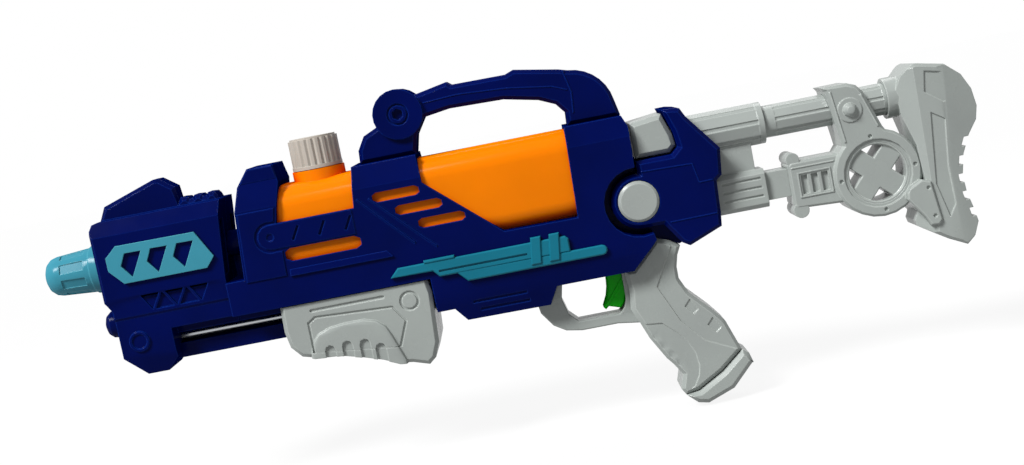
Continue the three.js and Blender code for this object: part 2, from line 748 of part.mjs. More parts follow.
function buildNozzle() {
  const face = SHROUD_FRONT - 0.3;
  const tip = SHROUD_FRONT - NOZZLE_LENGTH;
  const inside = tip + 12;
  const shell = turned(
    [
      [face, SPIGOT_RADIUS + 0.3],
      [face, NOZZLE_RADIUS],
      [face - 8, NOZZLE_RADIUS - 0.9],
      [face - 8.6, NOZZLE_RADIUS - 1.8],
      [tip + 9, NOZZLE_TIP_RADIUS + 0.3],
      [tip + 5, NOZZLE_TIP_RADIUS - 0.8],
      [tip + 2, NOZZLE_TIP_RADIUS - 3.4],
      [tip + 0.5, NOZZLE_TIP_RADIUS - 6.5],
      [tip, JET_RADIUS + 3],
      [tip + 1.5, JET_RADIUS],
      [inside, JET_RADIUS],
      [inside, SPIGOT_RADIUS + 0.3],
    ],
    0,
    24,
  );
  const pockets = Array.from({ length: 8 }, (_, i) => {
    const pocket = new THREE.BoxGeometry(17, 6.4, 4).rotateY(deg(-4.4));
    pocket.translate(tip + 21, 0, NOZZLE_TIP_RADIUS + 2.3);
    return solid(pocket.rotateX(deg(45 * i + 22.5)));
  });
  piece("nozzle", cut(shell, ...pockets), "teal");
  const seat = turned(
    [
      [inside + FIT, JET_RADIUS + 1],
      [inside + FIT, SPIGOT_RADIUS],
      [SHROUD_FRONT + WALL + 2.4, SPIGOT_RADIUS],
      [SHROUD_FRONT + WALL + 2.4, SPIGOT_RADIUS + 3],
      [SHROUD_FRONT + WALL + 5, SPIGOT_RADIUS + 3],
      [SHROUD_FRONT + WALL + 5, 6],
      [SHROUD_FRONT + 18, 6],
      [SHROUD_FRONT + 18, JET_RADIUS + 1],
    ],
    0,
    16,
  );
  piece("nozzle_seat", seat, "navy");
}

function buildBarrel() {
  const front = SHROUD_FRONT + WALL + 5 + FIT;
  const tube = turned(
    [
      [front, 6.3],
      [front, BARREL_RADIUS],
      [BARREL_REAR, BARREL_RADIUS],
      [BARREL_REAR, HOSE_RADIUS + FIT],
      [BARREL_REAR - 14, HOSE_RADIUS + FIT],
      [BARREL_REAR - 16, 6.3],
    ],
    0,
    16,
  );
  piece("barrel_tube", tube, "navy");
}

// A water line that runs in straight stretches with round bends.
function line(points, bend) {
  const path = new THREE.CurvePath();
  const v = points.map((p) => new THREE.Vector3(...p));
  let from = v[0];
  for (let i = 1; i < v.length - 1; i += 1) {
    const a = v[i].clone().add(v[i - 1].clone().sub(v[i]).setLength(bend));
    const b = v[i].clone().add(v[i + 1].clone().sub(v[i]).setLength(bend));
    path.add(new THREE.LineCurve3(from, a));
    path.add(new THREE.QuadraticBezierCurve3(a, v[i], b));
    from = b;
  }
  path.add(new THREE.LineCurve3(from, v[v.length - 1]));
  return path;
}

function buildHose() {
  const x = (BODY_FRONT + WALL + TANK_FRONT) / 2;
  const route = line(
    [
      [BARREL_REAR - 12, 0, 0],
      [x, 0, 0],
      [x, 0, VALVE_Z],
      [VALVE_FRONT - 0.3, 0, VALVE_Z],
    ],
    6.5,
  );
  const shape = shapeOf(arc(0, 0, HOSE_RADIUS, 0, 300, 5));
  shape.holes.push(new THREE.Path(shapeOf(arc(0, 0, HOSE_RADIUS - 1, 0, 300, 5)).getPoints()));
  const geometry = new THREE.ExtrudeGeometry(shape, {
    steps: 15,
    bevelEnabled: false,
    extrudePath: route,
  });
  piece("outlet_hose", solid(geometry), "clear");
}

// Pump

function buildPump() {
  const rear = CYLINDER_REAR;
  const top = ROD_Z + CYLINDER_RADIUS - 1;
  const pistonRear = rear - 7;
  const pistonFront = pistonRear - PISTON_LENGTH;
  piece("guide_rod", rodX(ROD_FRONT, rear + 5, ROD_RADIUS, 0, ROD_Z, 16), "steel");
  const plunger = cut(
    rodX(GRIP_FRONT + 34, pistonFront - 0.3, PLUNGER_RADIUS, 0, ROD_Z, 20),
    rodX(ROD_FRONT, TANK_REAR, ROD_RADIUS + 0.3, 0, ROD_Z, 12),
  );
  piece("plunger_tube", plunger, "clear");
  const piston = turned(
    [
      [pistonFront, ROD_RADIUS + 0.3],
      [pistonFront, CYLINDER_BORE - 0.3],
      [pistonFront + 2.4, CYLINDER_BORE - 0.3],
      [pistonFront + 2.4, CYLINDER_BORE - 2],
      [pistonRear - 2.4, CYLINDER_BORE - 2],
      [pistonRear - 2.4, CYLINDER_BORE - 0.3],
      [pistonRear, CYLINDER_BORE - 0.3],
      [pistonRear, ROD_RADIUS + 0.3],
    ],
    ROD_Z,
    12,
  );
  piece("piston", piston, "white");
  const mid = (pistonFront + pistonRear) / 2;
  const ring = arc(mid, CYLINDER_BORE - 1, 0.8, 0, 300, 5);
  piece("piston_seal", turned(ring, ROD_Z, 12), "rubber");
  const cylinder = turned(
    [
      [CYLINDER_FRONT, PLUNGER_RADIUS + 0.3],
      [CYLINDER_FRONT, CYLINDER_RADIUS],
      [rear, CYLINDER_RADIUS],
      [rear, CYLINDER_BORE],
      [CYLINDER_FRONT + 4, CYLINDER_BORE],
      [CYLINDER_FRONT + 4, PLUNGER_RADIUS + 0.3],
    ],
    ROD_Z,
    16,
  );
  piece("pump_cylinder", cylinder, "clear");
  const plug = cut(
    union(
      box(PLUG_FRONT, PLUG_FRONT + PLUG_LENGTH, -11, 11, ROD_Z - 8, top),
      rodX(rear - 5, PLUG_FRONT + 1, CYLINDER_BORE - 0.3, 0, ROD_Z, 20),
    ),
    rodX(rear - 6, rear + 5.3, ROD_RADIUS + 0.3, 0, ROD_Z, 12),
  );
  piece("cylinder_plug", plug, "white");
  const inlet = cut(
    rodZ(top + 0.3, TANK_BOTTOM - 0.3, 2.5, INLET_X, INLET_Y, 14),
    rodZ(-100, 0, 1.5, INLET_X, INLET_Y, 10),
  );
  piece("inlet_tube", inlet, "clear");
}

function buildRail() {
  const x0 = BLOCK_REAR - 5.6;
  const x1 = HOUSING_FRONT + 3.4;
  const channel = box(x0 - 1, x1 + 1, -FLANGE_IN, FLANGE_IN, RAIL_BOTTOM + 2.5, RAIL_TOP + 1);
  piece("pump_rail", cut(bar(railSection(0), x0, x1), channel), "navy");
}

function gripOutline() {
  const x = GRIP_FRONT;
  const rear = GRIP_FRONT + GRIP_LENGTH;
  return [
    [x, GRIP_TOP],
    [rear, GRIP_TOP],
    [rear + 2, GRIP_TOP - 9],
    [rear, GRIP_TOP - 43],
    [rear - 4, GRIP_TOP - 53],
    [rear - 9, GRIP_TOP - 57],
    [rear - 20, GRIP_TOP - 53.5],
    [rear - 28, GRIP_TOP - 52.5],
    [rear - 39, GRIP_TOP - 47.5],
    [rear - 53, GRIP_TOP - 43],
    [rear - 66, GRIP_TOP - 39.5],
    [x + 17, GRIP_TOP - 38],
    [x + 8, GRIP_TOP - 35.5],
    [x + 1.5, GRIP_TOP - 28],
    [x - 0.5, GRIP_TOP - 17],
  ];
}

// Palm swell on each side of the pump grip, with four finger hollows.
function palmSwell() {
  const outline = moved(GRIP_FRONT, GRIP_TOP, [
    [14, -44],
    [14.6, -35.6],
    [17, -27.5],
    [22, -22],
    [29.8, -19],
    [41, -17.8],
    [54, -17.8],
    [62.5, -20.3],
    [68, -25],
    [71, -31.5],
    [77.6, -50.3],
    [78, -60],
  ]);
  return slab(outline, GRIP_HALF + 2.8, 2.4, 0, 2).intersect(slab(gripOutline(), GRIP_HALF + 4));
}

function gripMarks(side) {
  const [x, z] = [GRIP_FRONT, GRIP_TOP];
  const deep = GRIP_HALF - 0.9;
  const on = (points, low = deep) => (side < 0 ? plate(points, -40, -low) : plate(points, low, 40));
  const rim = moved(x, z, [[16.2, -34], [16.2, -13.2], [21.8, -9.6], [75, -12.6], [83, -24], [76, -41]]);
  const inner = moved(x, z, [[17.8, -34], [17.8, -14], [22.4, -11.2], [74.3, -14.2], [81.2, -24.2], [74.4, -40.4]]);
  const trim = cut(on(rim), on(inner));
  const ring = cut(
    on(arc(x + 87, z - 11.4, 6.9, 0, 336, 14)),
    on(arc(x + 87, z - 11.4, 5, 0, 336, 14)),
  );
  const fingers = moved(x, z, [[28.2, -34.2], [40.1, -33.2], [52, -34.2], [62, -39]]);
  const hollows = fingers.map((place) => on(pill2(...place), GRIP_HALF + 1));
  return union(trim, ring, on(pill(x + 20.5, x + 70, z - 5.6, 1.1)), ...hollows);
}

// An upright slot with a round top.
function pill2(x, z) {
  return [...arc(x, z, 3.6, 0, 180, 4), [x - 3.6, z - 12], [x + 3.6, z - 12]];
}

function buildGrip() {
  const outline = gripOutline();
  const raised = outline.map(([x, z]) => [x, z === GRIP_TOP ? z + 3 : z]);
  const level = box(GRIP_FRONT - 9, HOUSING_FRONT + 9, -GRIP_HALF - 9, GRIP_HALF + 9, GRIP_TOP - 99, GRIP_TOP);
  const outer = union(slab(raised, GRIP_HALF, 2.6).intersect(level), palmSwell());
  const inner = slab(outline, GRIP_HALF - WALL, 1.5, WALL);
  const wide = FLANGE_OUT + 1.2;
  const channel = box(GRIP_FRONT - 9, HOUSING_FRONT, -wide, wide, RAIL_BOTTOM - 1.2, GRIP_TOP + 9);
  const grip = cut(outer, inner, channel, bothSides(gripMarks));
  piece("pump_grip_left", halfOf(grip, -1), "grey");
  piece("pump_grip_right", halfOf(grip, 1), "grey");
  const [x0, x1] = [GRIP_FRONT + 34, GRIP_FRONT + 64];
  const wing = GRIP_HALF - WALL - 0.2;
  const carriage = cut(
    union(
      box(x0, x1, -wing, wing, RAIL_TOP + 0.5, FLANGE_BOTTOM - 0.5),
      box(x0, x1, -FLANGE_IN + 0.5, FLANGE_IN - 0.5, ROD_Z - 6.6, ROD_Z + 6.6),
    ),
    rodX(x0 - 1, x1 + 1, PLUNGER_RADIUS + 0.15, 0, ROD_Z, 20),
  );
  piece("grip_carriage", carriage, "white");
}

// Side rods

function buildSideRods() {
  const [x, z] = [CYLINDER_FRONT, TANK_BOTTOM];
  const rear = VALVE_FRONT + 2;
  const upper = [[x - 30, z - 13.5], [x - 24, z - 7.5], [rear - 2, z - 7.5], [rear, z - 9.5]];
  upper.push([rear, z - 18.5], [x + 3, z - 18.5], [x - 1, z - 14]);
  const end = arc(rear + 21, z - 21.6, 3.4, -90, 90, 5);
  const lower = [[x + 14, z - 17.5], [x + 21, z - 25], ...end, [rear, z - 18.2]];
  const tab = rectangle(x - 6, x + 15, z - 8, z - 5.8);
  const slant = [[2, -4.4], [9, -4.4], [6.5, -22.5], [-0.5, -22.5]];
  const band = (dx) => moved(rear - dx, z, slant);
  const make = (side) => {
    const at = (points, thick, bevel) => {
      const back = BODY_HALF + 0.2;
      const front = back + thick;
      return side < 0 ? plate(points, -front, -back, bevel) : plate(points, back, front, bevel);
    };
    const groove = rectangle(x + 3, rear - 29, z - 15.4, z - 14);
    const reach = side < 0 ? [-BODY_HALF - 9, -BODY_HALF - 2] : [BODY_HALF + 2, BODY_HALF + 9];
    return cut(
      union(at(upper, 3, 0.8), at(lower, 2.8, 0.8), at(tab, 3.6, 0.6), at(band(27), 4, 0.6), at(band(14.5), 4, 0.6)),
      plate(groove, ...reach),
    );
  };
  piece("side_rods_left", make(-1), "teal");
  piece("side_rods_right", make(1), "teal");
}

// Trigger and valve

function buildTrigger() {
  const low = PIN_Z - TRIGGER_DROP;
  const outline = [
    [PIN_X - 5.4, VALVE_Z + 3],
    [PIN_X - 1, VALVE_Z + 3],
    ...arc(PIN_X, PIN_Z, 4.6, 40, -40, 4),
    [PIN_X + 3, GUARD_ROOF],
    ...moved(PIN_X, low, [[3.3, 9], [1, 3], [-2, 0], [-10, 2.6], [-12.4, 0.7], [-13.8, 2.6], [-10.6, 9]]),
    [PIN_X - 9, low + 15],
    [PIN_X - 8, GUARD_ROOF],
    [PIN_X - 4.6, PIN_Z],
  ];
  const body = slab(outline, TRIGGER_HALF, 1);
  const ridge = moved(PIN_X, low, [[2.6, 21.4], [3, 19], [-10.4, 3.4], [-11.6, 4.6]]);
  const bore = rodY(-20, 20, PIN_RADIUS + 0.15, PIN_X, PIN_Z, 12);
  piece("trigger", cut(union(body, slab(ridge, TRIGGER_HALF + 0.6)), bore), "green");
  piece("trigger_pin", rodY(-13.5, 13.5, PIN_RADIUS, PIN_X, PIN_Z, 12), "steel");
}

function buildValve() {
  const rear = VALVE_FRONT + VALVE_LENGTH;
  const head = PIN_X - 5.4 - FIT;
  const stemFront = rear - 9;
  const portX = PLUG_FRONT + 8;
  const top = ROD_Z + CYLINDER_RADIUS - 1;
  const body = cut(
    union(
      rodX(VALVE_FRONT, rear, VALVE_RADIUS, 0, VALVE_Z, 16),
      rodZ(top + 0.3, VALVE_Z, 2.4, portX, 0, 14),
    ),
    rodX(stemFront - 4, rear + 1, STEM_RADIUS + 0.2, 0, VALVE_Z, 14),
  );
  piece("valve_body", body, "white");
  const plunger = union(
    rodX(stemFront, head - 1, STEM_RADIUS, 0, VALVE_Z, 14),
    rodX(head - 1.6, head, STEM_HEAD, 0, VALVE_Z, 16),
  );
  piece("valve_plunger", plunger, "clear");
  const length = head - 1.6 - rear - 0.4;
  const coil = spring("valve_spring", STEM_RADIUS + 1, length, 3.5);
  piece("valve_spring", solid(coil.translate(rear + 0.2 + length / 2, 0, VALVE_Z)), "steel");
}

// Pistol grip

function pistolOutline() {
  const top = GUARD_ROOF - FIT;
  const back = moved(PIN_X, GUARD_ROOF, [
    [45, 9.6],
    [42, 3.6],
    [40, -4.4],
    [40, -12.4],
    [45, -23.4],
    [59, -38.4],
    [66, -47.4],
    [73.5, -68.6],
  ]);
  const front = moved(PIN_X, GUARD_ROOF, [
    [28, -88.4],
    [31, -78.4],
    [26, -70.4],
    [22, -65.4],
    [13, -49.4],
    [8, -36.4],
    [4, -27.4],
    [5.5, -15.4],
  ]);
  return [
    [HUB_X + 7.3, HUB_Z - CRESCENT_RADIUS - 4.6],
    [HUB_X + 16, HUB_Z - 31],
    ...back,
    ...baseLine(),
    ...front,
    [PIN_X + 4, top],
    [PIN_X + 10.6, top],
  ];
}

function baseLine() {
  return moved(PIN_X, GUARD_ROOF, [[58, -81.2], [40, -91.2], [30.6, -92.7]]);
}

function guardOutline() {
  const top = GUARD_ROOF - FIT;
  const step = PLUG_FRONT - 12.4;
  return [
    [step - 9, HOUSING_BOTTOM - FIT],
    [step + 0.3, HOUSING_BOTTOM - FIT],
    [step + 6.9, top],
    [step + 10.5, top],
    ...moved(step, GUARD_ROOF, [[8, -12.4], [11, -23.4], [17, -29.4]]),
    ...moved(PIN_X, GUARD_ROOF, [[12, -29.4], [14, -39.4], [-6, -36.4]]),
    ...moved(step, GUARD_ROOF, [[18, -36.4], [7, -34.4], [-1, -29.4], [-8, -19.4]]),
  ];
}

// Finger hollows along the front edge, a stepped back and two slanted pads on each side.
function pistolMarks() {
  const at = (dx, dz) => [PIN_X + dx, GUARD_ROOF + dz];
  const hollow = ([x, z]) => bothSides((side) => {
    const geometry = new THREE.SphereGeometry(4.4, 7, 4);
    return solid(geometry.translate(x, side * (HANDLE_HALF + 2.6), z));
  });
  const back = [[39.8, 13], [24, -15], [35.7, -41], [49.5, -57.4], [73, -69], [92, -68], [92, -20], [60, 16]];
  const palm = [[8, -38.5], [23.2, -40.3], [32, -48.5], [38, -56], [42, -65], [43.1, -74.2], [41.5, -81]];
  palm.push([37.3, -88], [20, -97], [-2, -60]);
  const pads = [moved(44.5, -27.4, [[0, 0], [-4.3, -4.7], [1, -10.8], [4.8, -8.1]])];
  pads.push(moved(13.1, -15.4, pads[0]));
  const sink = (line, deep) => {
    const points = moved(PIN_X, GUARD_ROOF, line);
    const y = HANDLE_HALF - deep;
    return bothSides((side) => (side < 0 ? plate(points, -40, -y) : plate(points, y, 40)));
  };
  const sunk = [sink(back, 0.7), sink(palm, 0.6), ...pads.map((line) => sink(line, 1.4))];
  return union(...sunk, ...[at(17, -49), at(22, -56.4), at(26, -63.4), at(30.5, -70)].map(hollow));
}

function buildPistol() {
  const outline = pistolOutline();
  const outer = union(slab(outline, HANDLE_HALF, 3), slab(guardOutline(), GUARD_HALF, 0.8));
  const inner = slab(outline, HANDLE_HALF - WALL, 0, WALL + 0.4);
  const wide = TRIGGER_HALF + 1;
  const slot = box(PIN_X - 6, PIN_X + 18, -wide, wide, GUARD_ROOF - 28.4, GUARD_ROOF + 8);
  const grip = cut(outer, inner, slot, pistolMarks());
  piece("pistol_grip_left", halfOf(grip, -1), "grey");
  piece("pistol_grip_right", halfOf(grip, 1), "grey");
  const low = [[79, -79.4], [64, -94.4], [45, -101.4], [38, -99.9]];
  const base = [
    ...baseLine().map(([x, z]) => [x + 0.2, z - 0.5]).reverse(),
    ...moved(PIN_X, GUARD_ROOF, [[73.8, -69.1], [78, -72.4], [80, -79.4], ...low]),
  ];
  const capped = slab(base, HANDLE_HALF + 0.6, 3);
  const hollow = slab(base, HANDLE_HALF - WALL, 0, WALL).intersect(capped);
  const vent = moved(PIN_X + 44, GUARD_ROOF - 88, [[-4, -4], [4, -4], [4, 8], [-4, 8]]);
  piece("grip_base_cap", cut(capped, hollow, slab(vent, 3)), "grey");
}

// Carry handle

function carryOutline() {
  const seat = FOOT_TOP + FIT / 2;
  const [front, rear] = [FOOT_REAR - 39, TANK_REAR - 4];
  return [
    [front, seat],
    [front + 0.6, seat + 9],
    [front + 6, seat + 18],
    ...arc(KNUCKLE_X, KNUCKLE_Z, KNUCKLE_RADIUS - 0.5, 200, 40, 8),
    ...moved(KNUCKLE_X, KNUCKLE_Z, [[36, 15], [39, 12.6], [76, 12.2], [82, 14.4], [112, 8.8]]),
    ...arc(rear + 5, FOOT_TOP + 6, 29.6, 86, 8, 7),
    [rear + 36.6, seat - 1],
    [rear, seat - 1],
    [rear + 0.5, seat + 7.3],
    [rear - 5, seat + 14.3],
    [rear - 16, seat + 19.3],
    ...moved(KNUCKLE_X, KNUCKLE_Z, [[72, -4], [35, -3], [17, -5.5], [10, -16]]),
    [FOOT_REAR, seat],
  ];
}

// Stubs under the handle that plug into the body.
function tenons(grow) {
  const low = TANK_TOP + 1.2 - grow;
  const wide = 7 + grow;
  return union(
    box(FOOT_REAR - 33 - grow, FOOT_REAR - 7 + grow, -wide, wide, low, FOOT_TOP + 3),
    box(TANK_REAR + 3 - grow, TANK_REAR + 27 + grow, -wide, wide, low - 3, FOOT_TOP + 3),
  );
}

function buildCarry() {
  const outline = carryOutline();
  const knuckle = rodY(-KNUCKLE_HALF, KNUCKLE_HALF, KNUCKLE_RADIUS, KNUCKLE_X, KNUCKLE_Z, 22);
  const outer = union(slab(outline, CARRY_HALF, 2.6), knuckle, tenons(0));
  const inner = slab(outline, CARRY_HALF - WALL, 2, WALL + 0.6);
  const deep = KNUCKLE_HALF - 1.2;
  const sunk = (side) => {
    const [a, b] = side < 0 ? [-40, -deep] : [deep, 40];
    const [c, d] = side < 0 ? [-40, -deep + 2] : [deep - 2, 40];
    return union(
      cut(
        rodY(a, b, 7.4, KNUCKLE_X, KNUCKLE_Z, 18),
        rodY(a - 1, b + 1, 6, KNUCKLE_X, KNUCKLE_Z, 18),
      ),
      rodY(c, d, 4, KNUCKLE_X, KNUCKLE_Z, 6),
    );
  };
  const handle = cut(outer, inner, bothSides(sunk));
  piece("carry_handle_left", halfOf(handle, -1), "navy");
  piece("carry_handle_right", halfOf(handle, 1), "navy");
}

// Stock mount and buttons

function mountOutline() {
  const rear = [[14, -18.4], [24, -33], [29, -36], [52, -27], [53, -18], [54, 4], [58, 7], [60, 25]];
  const top = [[41, 50], [38, 56], [33, 57], [26, 57], [31, 41], [32.4, 31], [27.5, 26.6], [3, 26.6]];
  return [
    ...arc(HUB_X, HUB_Z, ARM_RADIUS, 90, 270, 12),
    ...moved(HUB_X, HUB_Z, rear),
    ...moved(HUB_X, HUB_Z, top),
    [HUB_X + 3, HUB_Z + ARM_RADIUS],
  ];
}

function coreClear(grow) {
  const far = SLEEVE_REAR + 20;
  return union(
    rodX(HUB_X + 12, far, SLEEVE_RADIUS + grow, 0, TUBE_Z, 20),
    bar(lowSleeve(grow), HUB_X + 32, far),
    box(HUB_X + 38, far, -8 - grow, 8 + grow, BAR_TOP, TUBE_Z),
  );
}

function lowSleeve(grow) {
  const h = BAR_HALF + 4 + grow;
  const top = BAR_TOP + 3.4 + grow;
  const low = BAR_BOTTOM - 4 - grow;
  return [[-h, low + 3], [3 - h, low], [h - 3, low], [h, low + 3], [h, top - 3], [h - 3, top], [3 - h, top], [-h, top - 3]];
}

function buildMount() {
  const outline = mountOutline();
  const outer = slab(outline, MOUNT_HALF, 2.5);
  const inner = slab(outline, MOUNT_HALF - WALL, 0, WALL).intersect(box(HUB_X + 20, SLEEVE_REAR, -60, 60, HUB_Z - 60, HUB_Z + 80));
  const well = (side) => {
    const [a, b] = side < 0 ? [-60, -WELL_FLOOR] : [WELL_FLOOR, 60];
    return rodY(a, b, BUTTON_RADIUS + FIT, HUB_X, HUB_Z, 22);
  };
  const body = cut(
    outer,
    inner,
    tongue(FIT),
    bothSides(well),
    rodY(-60, 60, PIVOT_RADIUS + FIT / 2, HUB_X, HUB_Z, 16),
    coreClear(FIT),
    insertBlock(FIT),
  );
  piece("stock_mount_left", halfOf(body, -1), "navy");
  piece("stock_mount_right", halfOf(body, 1), "navy");
  piece("stock_pin", rodY(-13.4, 13.4, PIVOT_RADIUS, HUB_X, HUB_Z, 16), "steel");
}

function buildButtons() {
  const face = MOUNT_HALF + BUTTON_PROUD;
  const back = face - BUTTON_THICK;
  const profile = [
    [face, 0],
    [face, BUTTON_RADIUS - 1.8],
    [face - 1.4, BUTTON_RADIUS],
    [back, BUTTON_RADIUS],
    [back, PIVOT_RADIUS - 0.2],
    [back - 5, PIVOT_RADIUS - 0.2],
    [back - 5, 0],
  ];
  const length = back - WELL_FLOOR - 0.4;
  for (const [name, side] of [["left", -1], ["right", 1]]) {
    const points = profile.map(([y, r]) => new THREE.Vector2(r, side * y));
    const geometry = new THREE.LatheGeometry(points, 28).translate(HUB_X, 0, HUB_Z);
    piece("button_" + name, solid(geometry), "grey");
    const coil = spring("button_spring_" + name, 8, length, 1.8).rotateZ(Math.PI / 2);
    const middle = side * (WELL_FLOOR + 0.2 + length / 2);
    piece("button_spring_" + name, solid(coil.translate(HUB_X, middle, HUB_Z)), "steel");
  }
}

// Stock

function fluted(radius, depth, count) {
  const step = 360 / count;
  const points = [];
  for (let i = 0; i < count; i += 1) {
    const at = i * step;
    points.push(arc(0, TUBE_Z, radius, at, at, 1)[0]);
    points.push(arc(0, TUBE_Z, radius, at + step * 0.7, at, 1)[0]);
    points.push(arc(0, TUBE_Z, radius - depth, at + step * 0.75, at, 1)[0]);
    points.push(arc(0, TUBE_Z, radius - depth, at + step * 0.95, at, 1)[0]);
  }
  return points;
}

function insertBlock(grow) {
  const g = grow;
  const outline = moved(HUB_X, HUB_Z, [
    [3.6 - g, 28 - g],
    [27 + g, 28 - g],
    [31.6 + g, 32],
    [30.4 + g, 40],
    [25.5 + g, 54.5 + g],
    [3.6 - g, 52 + g],
  ]);
  return slab(outline, 22 + grow, 3);
}

function buildCore() {
  const solids = union(
    insertBlock(0),
    rodX(HUB_X + 16, HUB_X + 40, SLEEVE_RADIUS - 1.2, 0, TUBE_Z, 20),
    bar(fluted(SLEEVE_RADIUS, 0.9, 8), HUB_X + 38, SLEEVE_REAR - 3),
    rodX(SLEEVE_REAR - 4, SLEEVE_REAR, SLEEVE_RADIUS, 0, TUBE_Z, 20),
    box(HUB_X + 40, HUB_X + 83, -8, 8, BAR_TOP, TUBE_Z),
    bar(lowSleeve(0), HUB_X + 40, LOW_SLEEVE_REAR),
  );
  const grooves = bothSides((side) => {
    const h = BAR_HALF + 4;
    const [a, b] = side < 0 ? [-h - 1, 0.9 - h] : [h - 0.9, h + 1];
    const [x0, x1] = [HUB_X + 58, LOW_SLEEVE_REAR - 3];
    return union(...[2.5, 8.5, 14.5].map((d) => box(x0, x1, a, b, BAR_TOP - d - 0.8, BAR_TOP - d + 0.8)));
  });
  const sockets = union(
    rodX(SOCKET_FRONT, SLEEVE_REAR + 20, TUBE_RADIUS + 0.3, 0, TUBE_Z, 20),
    bar(barSection(0.3), SOCKET_FRONT, SLEEVE_REAR + 20),
    rodX(HUB_X + 8, SOCKET_FRONT + 1, TUBE_RADIUS - 1.5, 0, TUBE_Z, 16),
    bar(barSection(-1), HUB_X + 45, SOCKET_FRONT + 1),
  );
  piece("stock_core", cut(solids, grooves, sockets), "grey");
}

function barSection(grow) {
  const half = BAR_HALF + grow;
  return rectangle(-half, half, BAR_BOTTOM - grow, BAR_TOP + grow);
}

function clampOutline() {
  const [x, z] = [RING_X, RING_Z];
  return [
    [x - 28, TUBE_Z + 15.8],
    [x - 11, TUBE_Z + 16],
    [x - 5, TUBE_Z + 13.6],
    [x - 1, TUBE_Z + 8.5],
    [x + 8, TUBE_Z - 16.5],
    [x + 12, z + 24],
    [x - 20, z + 18],
    [x - 26, TUBE_Z + 13],
  ];
}

function sliderOutline() {
  const x = RING_X - 59;
  return [
    [x, RING_Z - 11],
    [x + 2, RING_Z - 14],
    [x + 40, RING_Z - 16],
    [x + 40, RING_Z + 18],
    [x + 2, RING_Z + 18],
    [x, RING_Z + 16],
  ];
}

function bracketOutline() {
  return moved(RING_X, RING_Z, [
    [16, -14.5],
    [26.3, -9.3],
    [32.4, -11.5],
    [36, -38.5],
    [33.5, -41.5],
    [28, -41],
    [24.5, -34],
    [15, -21],
  ]);
}

function braceMarks(side) {
  const at = (points, low) => (side < 0 ? plate(points, -40, -low) : plate(points, low, 40));
  const dimples = [0, 90, 180, 270].map((angle) => {
    const [x, z] = arc(RING_X, RING_Z, 25.4, angle + 3, angle, 1)[0];
    return at(arc(x, z, 1.5, 0, 300, 5), RING_HALF - 1.2);
  });
  const x = RING_X - 53;
  const slots = [0, 7, 14].map((dx) => at(rectangle(x + 1.5 + dx, x + 6 + dx, RING_Z - 5, RING_Z + 8), 11));
  const rivets = [[RING_X + 30, RING_Z - 15.5], [RING_X + 31.5, RING_Z - 35]].map(([a, b]) =>
    at(arc(a, b, 1.5, 0, 300, 5), PAD_HALF + 1.5),
  );
  return union(...dimples, ...slots, ...rivets);
}

function clampBoss(side) {
  const [x, z] = [RING_X - 12, TUBE_Z - 2];
  const ring = rodY(side < 0 ? -16.8 : 15, side < 0 ? -15 : 16.8, 8.3, x, z, 16);
  const dome = new THREE.SphereGeometry(5.1, 10, 6).translate(x, side * 16.2, z);
  return union(ring, solid(dome));
}

function buildBrace() {
  const ear = (x, z, r) => rodY(-13, 13, r, x, z, 16);
  const outer = union(
    slab(arc(RING_X, RING_Z, RING_RADIUS, 0, 345, 23), RING_HALF, 1.6),
    slab(clampOutline(), 16, 2),
    slab(sliderOutline(), 13.4, 1.5),
    slab(bracketOutline(), PAD_HALF + 2.6, 1),
    ear(RING_X - 55, RING_Z + 19.5, 4.6),
    ear(RING_X - 54.5, RING_Z - 15.5, 5.4),
    bothSides(clampBoss),
  );
  const lip = bothSides((side) => {
    const [a, b] = side < 0 ? [-40, 1.4 - RING_HALF] : [RING_HALF - 1.4, 40];
    return rodY(a, b, RING_BORE + 2.2, RING_X, RING_Z, 24);
  });
  const brace = cut(
    outer,
    lip,
    rodY(-40, 40, RING_BORE, RING_X, RING_Z, 24),
    rodX(RING_X - 40, RING_X + 20, TUBE_RADIUS + 0.3, 0, TUBE_Z, 18),
    bar(barSection(0.3), RING_X - 62, RING_X - 45),
    bothSides(braceMarks),
    padBody(FIT),
  );
  piece("stock_brace_left", halfOf(brace, -1), "grey");
  piece("stock_brace_right", halfOf(brace, 1), "grey");
  const arm = (turn) => {
    const geometry = new THREE.BoxGeometry(60, 15, 14.6);
    return solid(geometry.rotateY(deg(turn)).translate(RING_X, 0, RING_Z));
  };
  const disc = rodY(-20, 20, RING_BORE - 0.3, RING_X, RING_Z, 24);
  piece("ring_cross", union(arm(42), arm(132)).intersect(disc), "grey");
}

function buildTube() {
  const x0 = SOCKET_FRONT + FIT;
  const x1 = RING_X + 35;
  const outer = union(
    rodX(x0, SLEEVE_REAR + 8, TUBE_RADIUS, 0, TUBE_Z, 18),
    bar(fluted(TUBE_RADIUS, 0.8, 8), SLEEVE_REAR + 7, RING_X + 14),
    rodX(RING_X + 13, x1, TUBE_RADIUS, 0, TUBE_Z, 18),
  );
  const bore = rodX(x0 - 1, x1 + 1, TUBE_RADIUS - WALL - 0.6, 0, TUBE_Z, 12);
  piece("stock_tube", cut(outer, bore), "grey");
  const solidBar = bar(barSection(0), x0, RING_X - 45.4);
  piece("stock_bar", cut(solidBar, bar(barSection(-WALL), x0 - 1, RING_X - 45)), "grey");
}

function padOutline() {
  const rear = [[-19, 28], [-8, 19], [-2, 8], [0, -4], [-2, -13], [-9, -22], [-15, -34], [-18, -48], [-17, -60]];
  const foot = [[-14, -71], [-12, -81], [-16, -90], [-22, -95], [-34, -89], [-52, -77], [-53, -73]];
  const front = [[-49, -65], [-43, -50], [-45, -22], [-51, -1], [-52, 16], [-48, 25], [-41, 31], [-38, 32]];
  return moved(PAD_REAR, TUBE_Z - 11.5, [...rear, ...foot, ...front]);
}

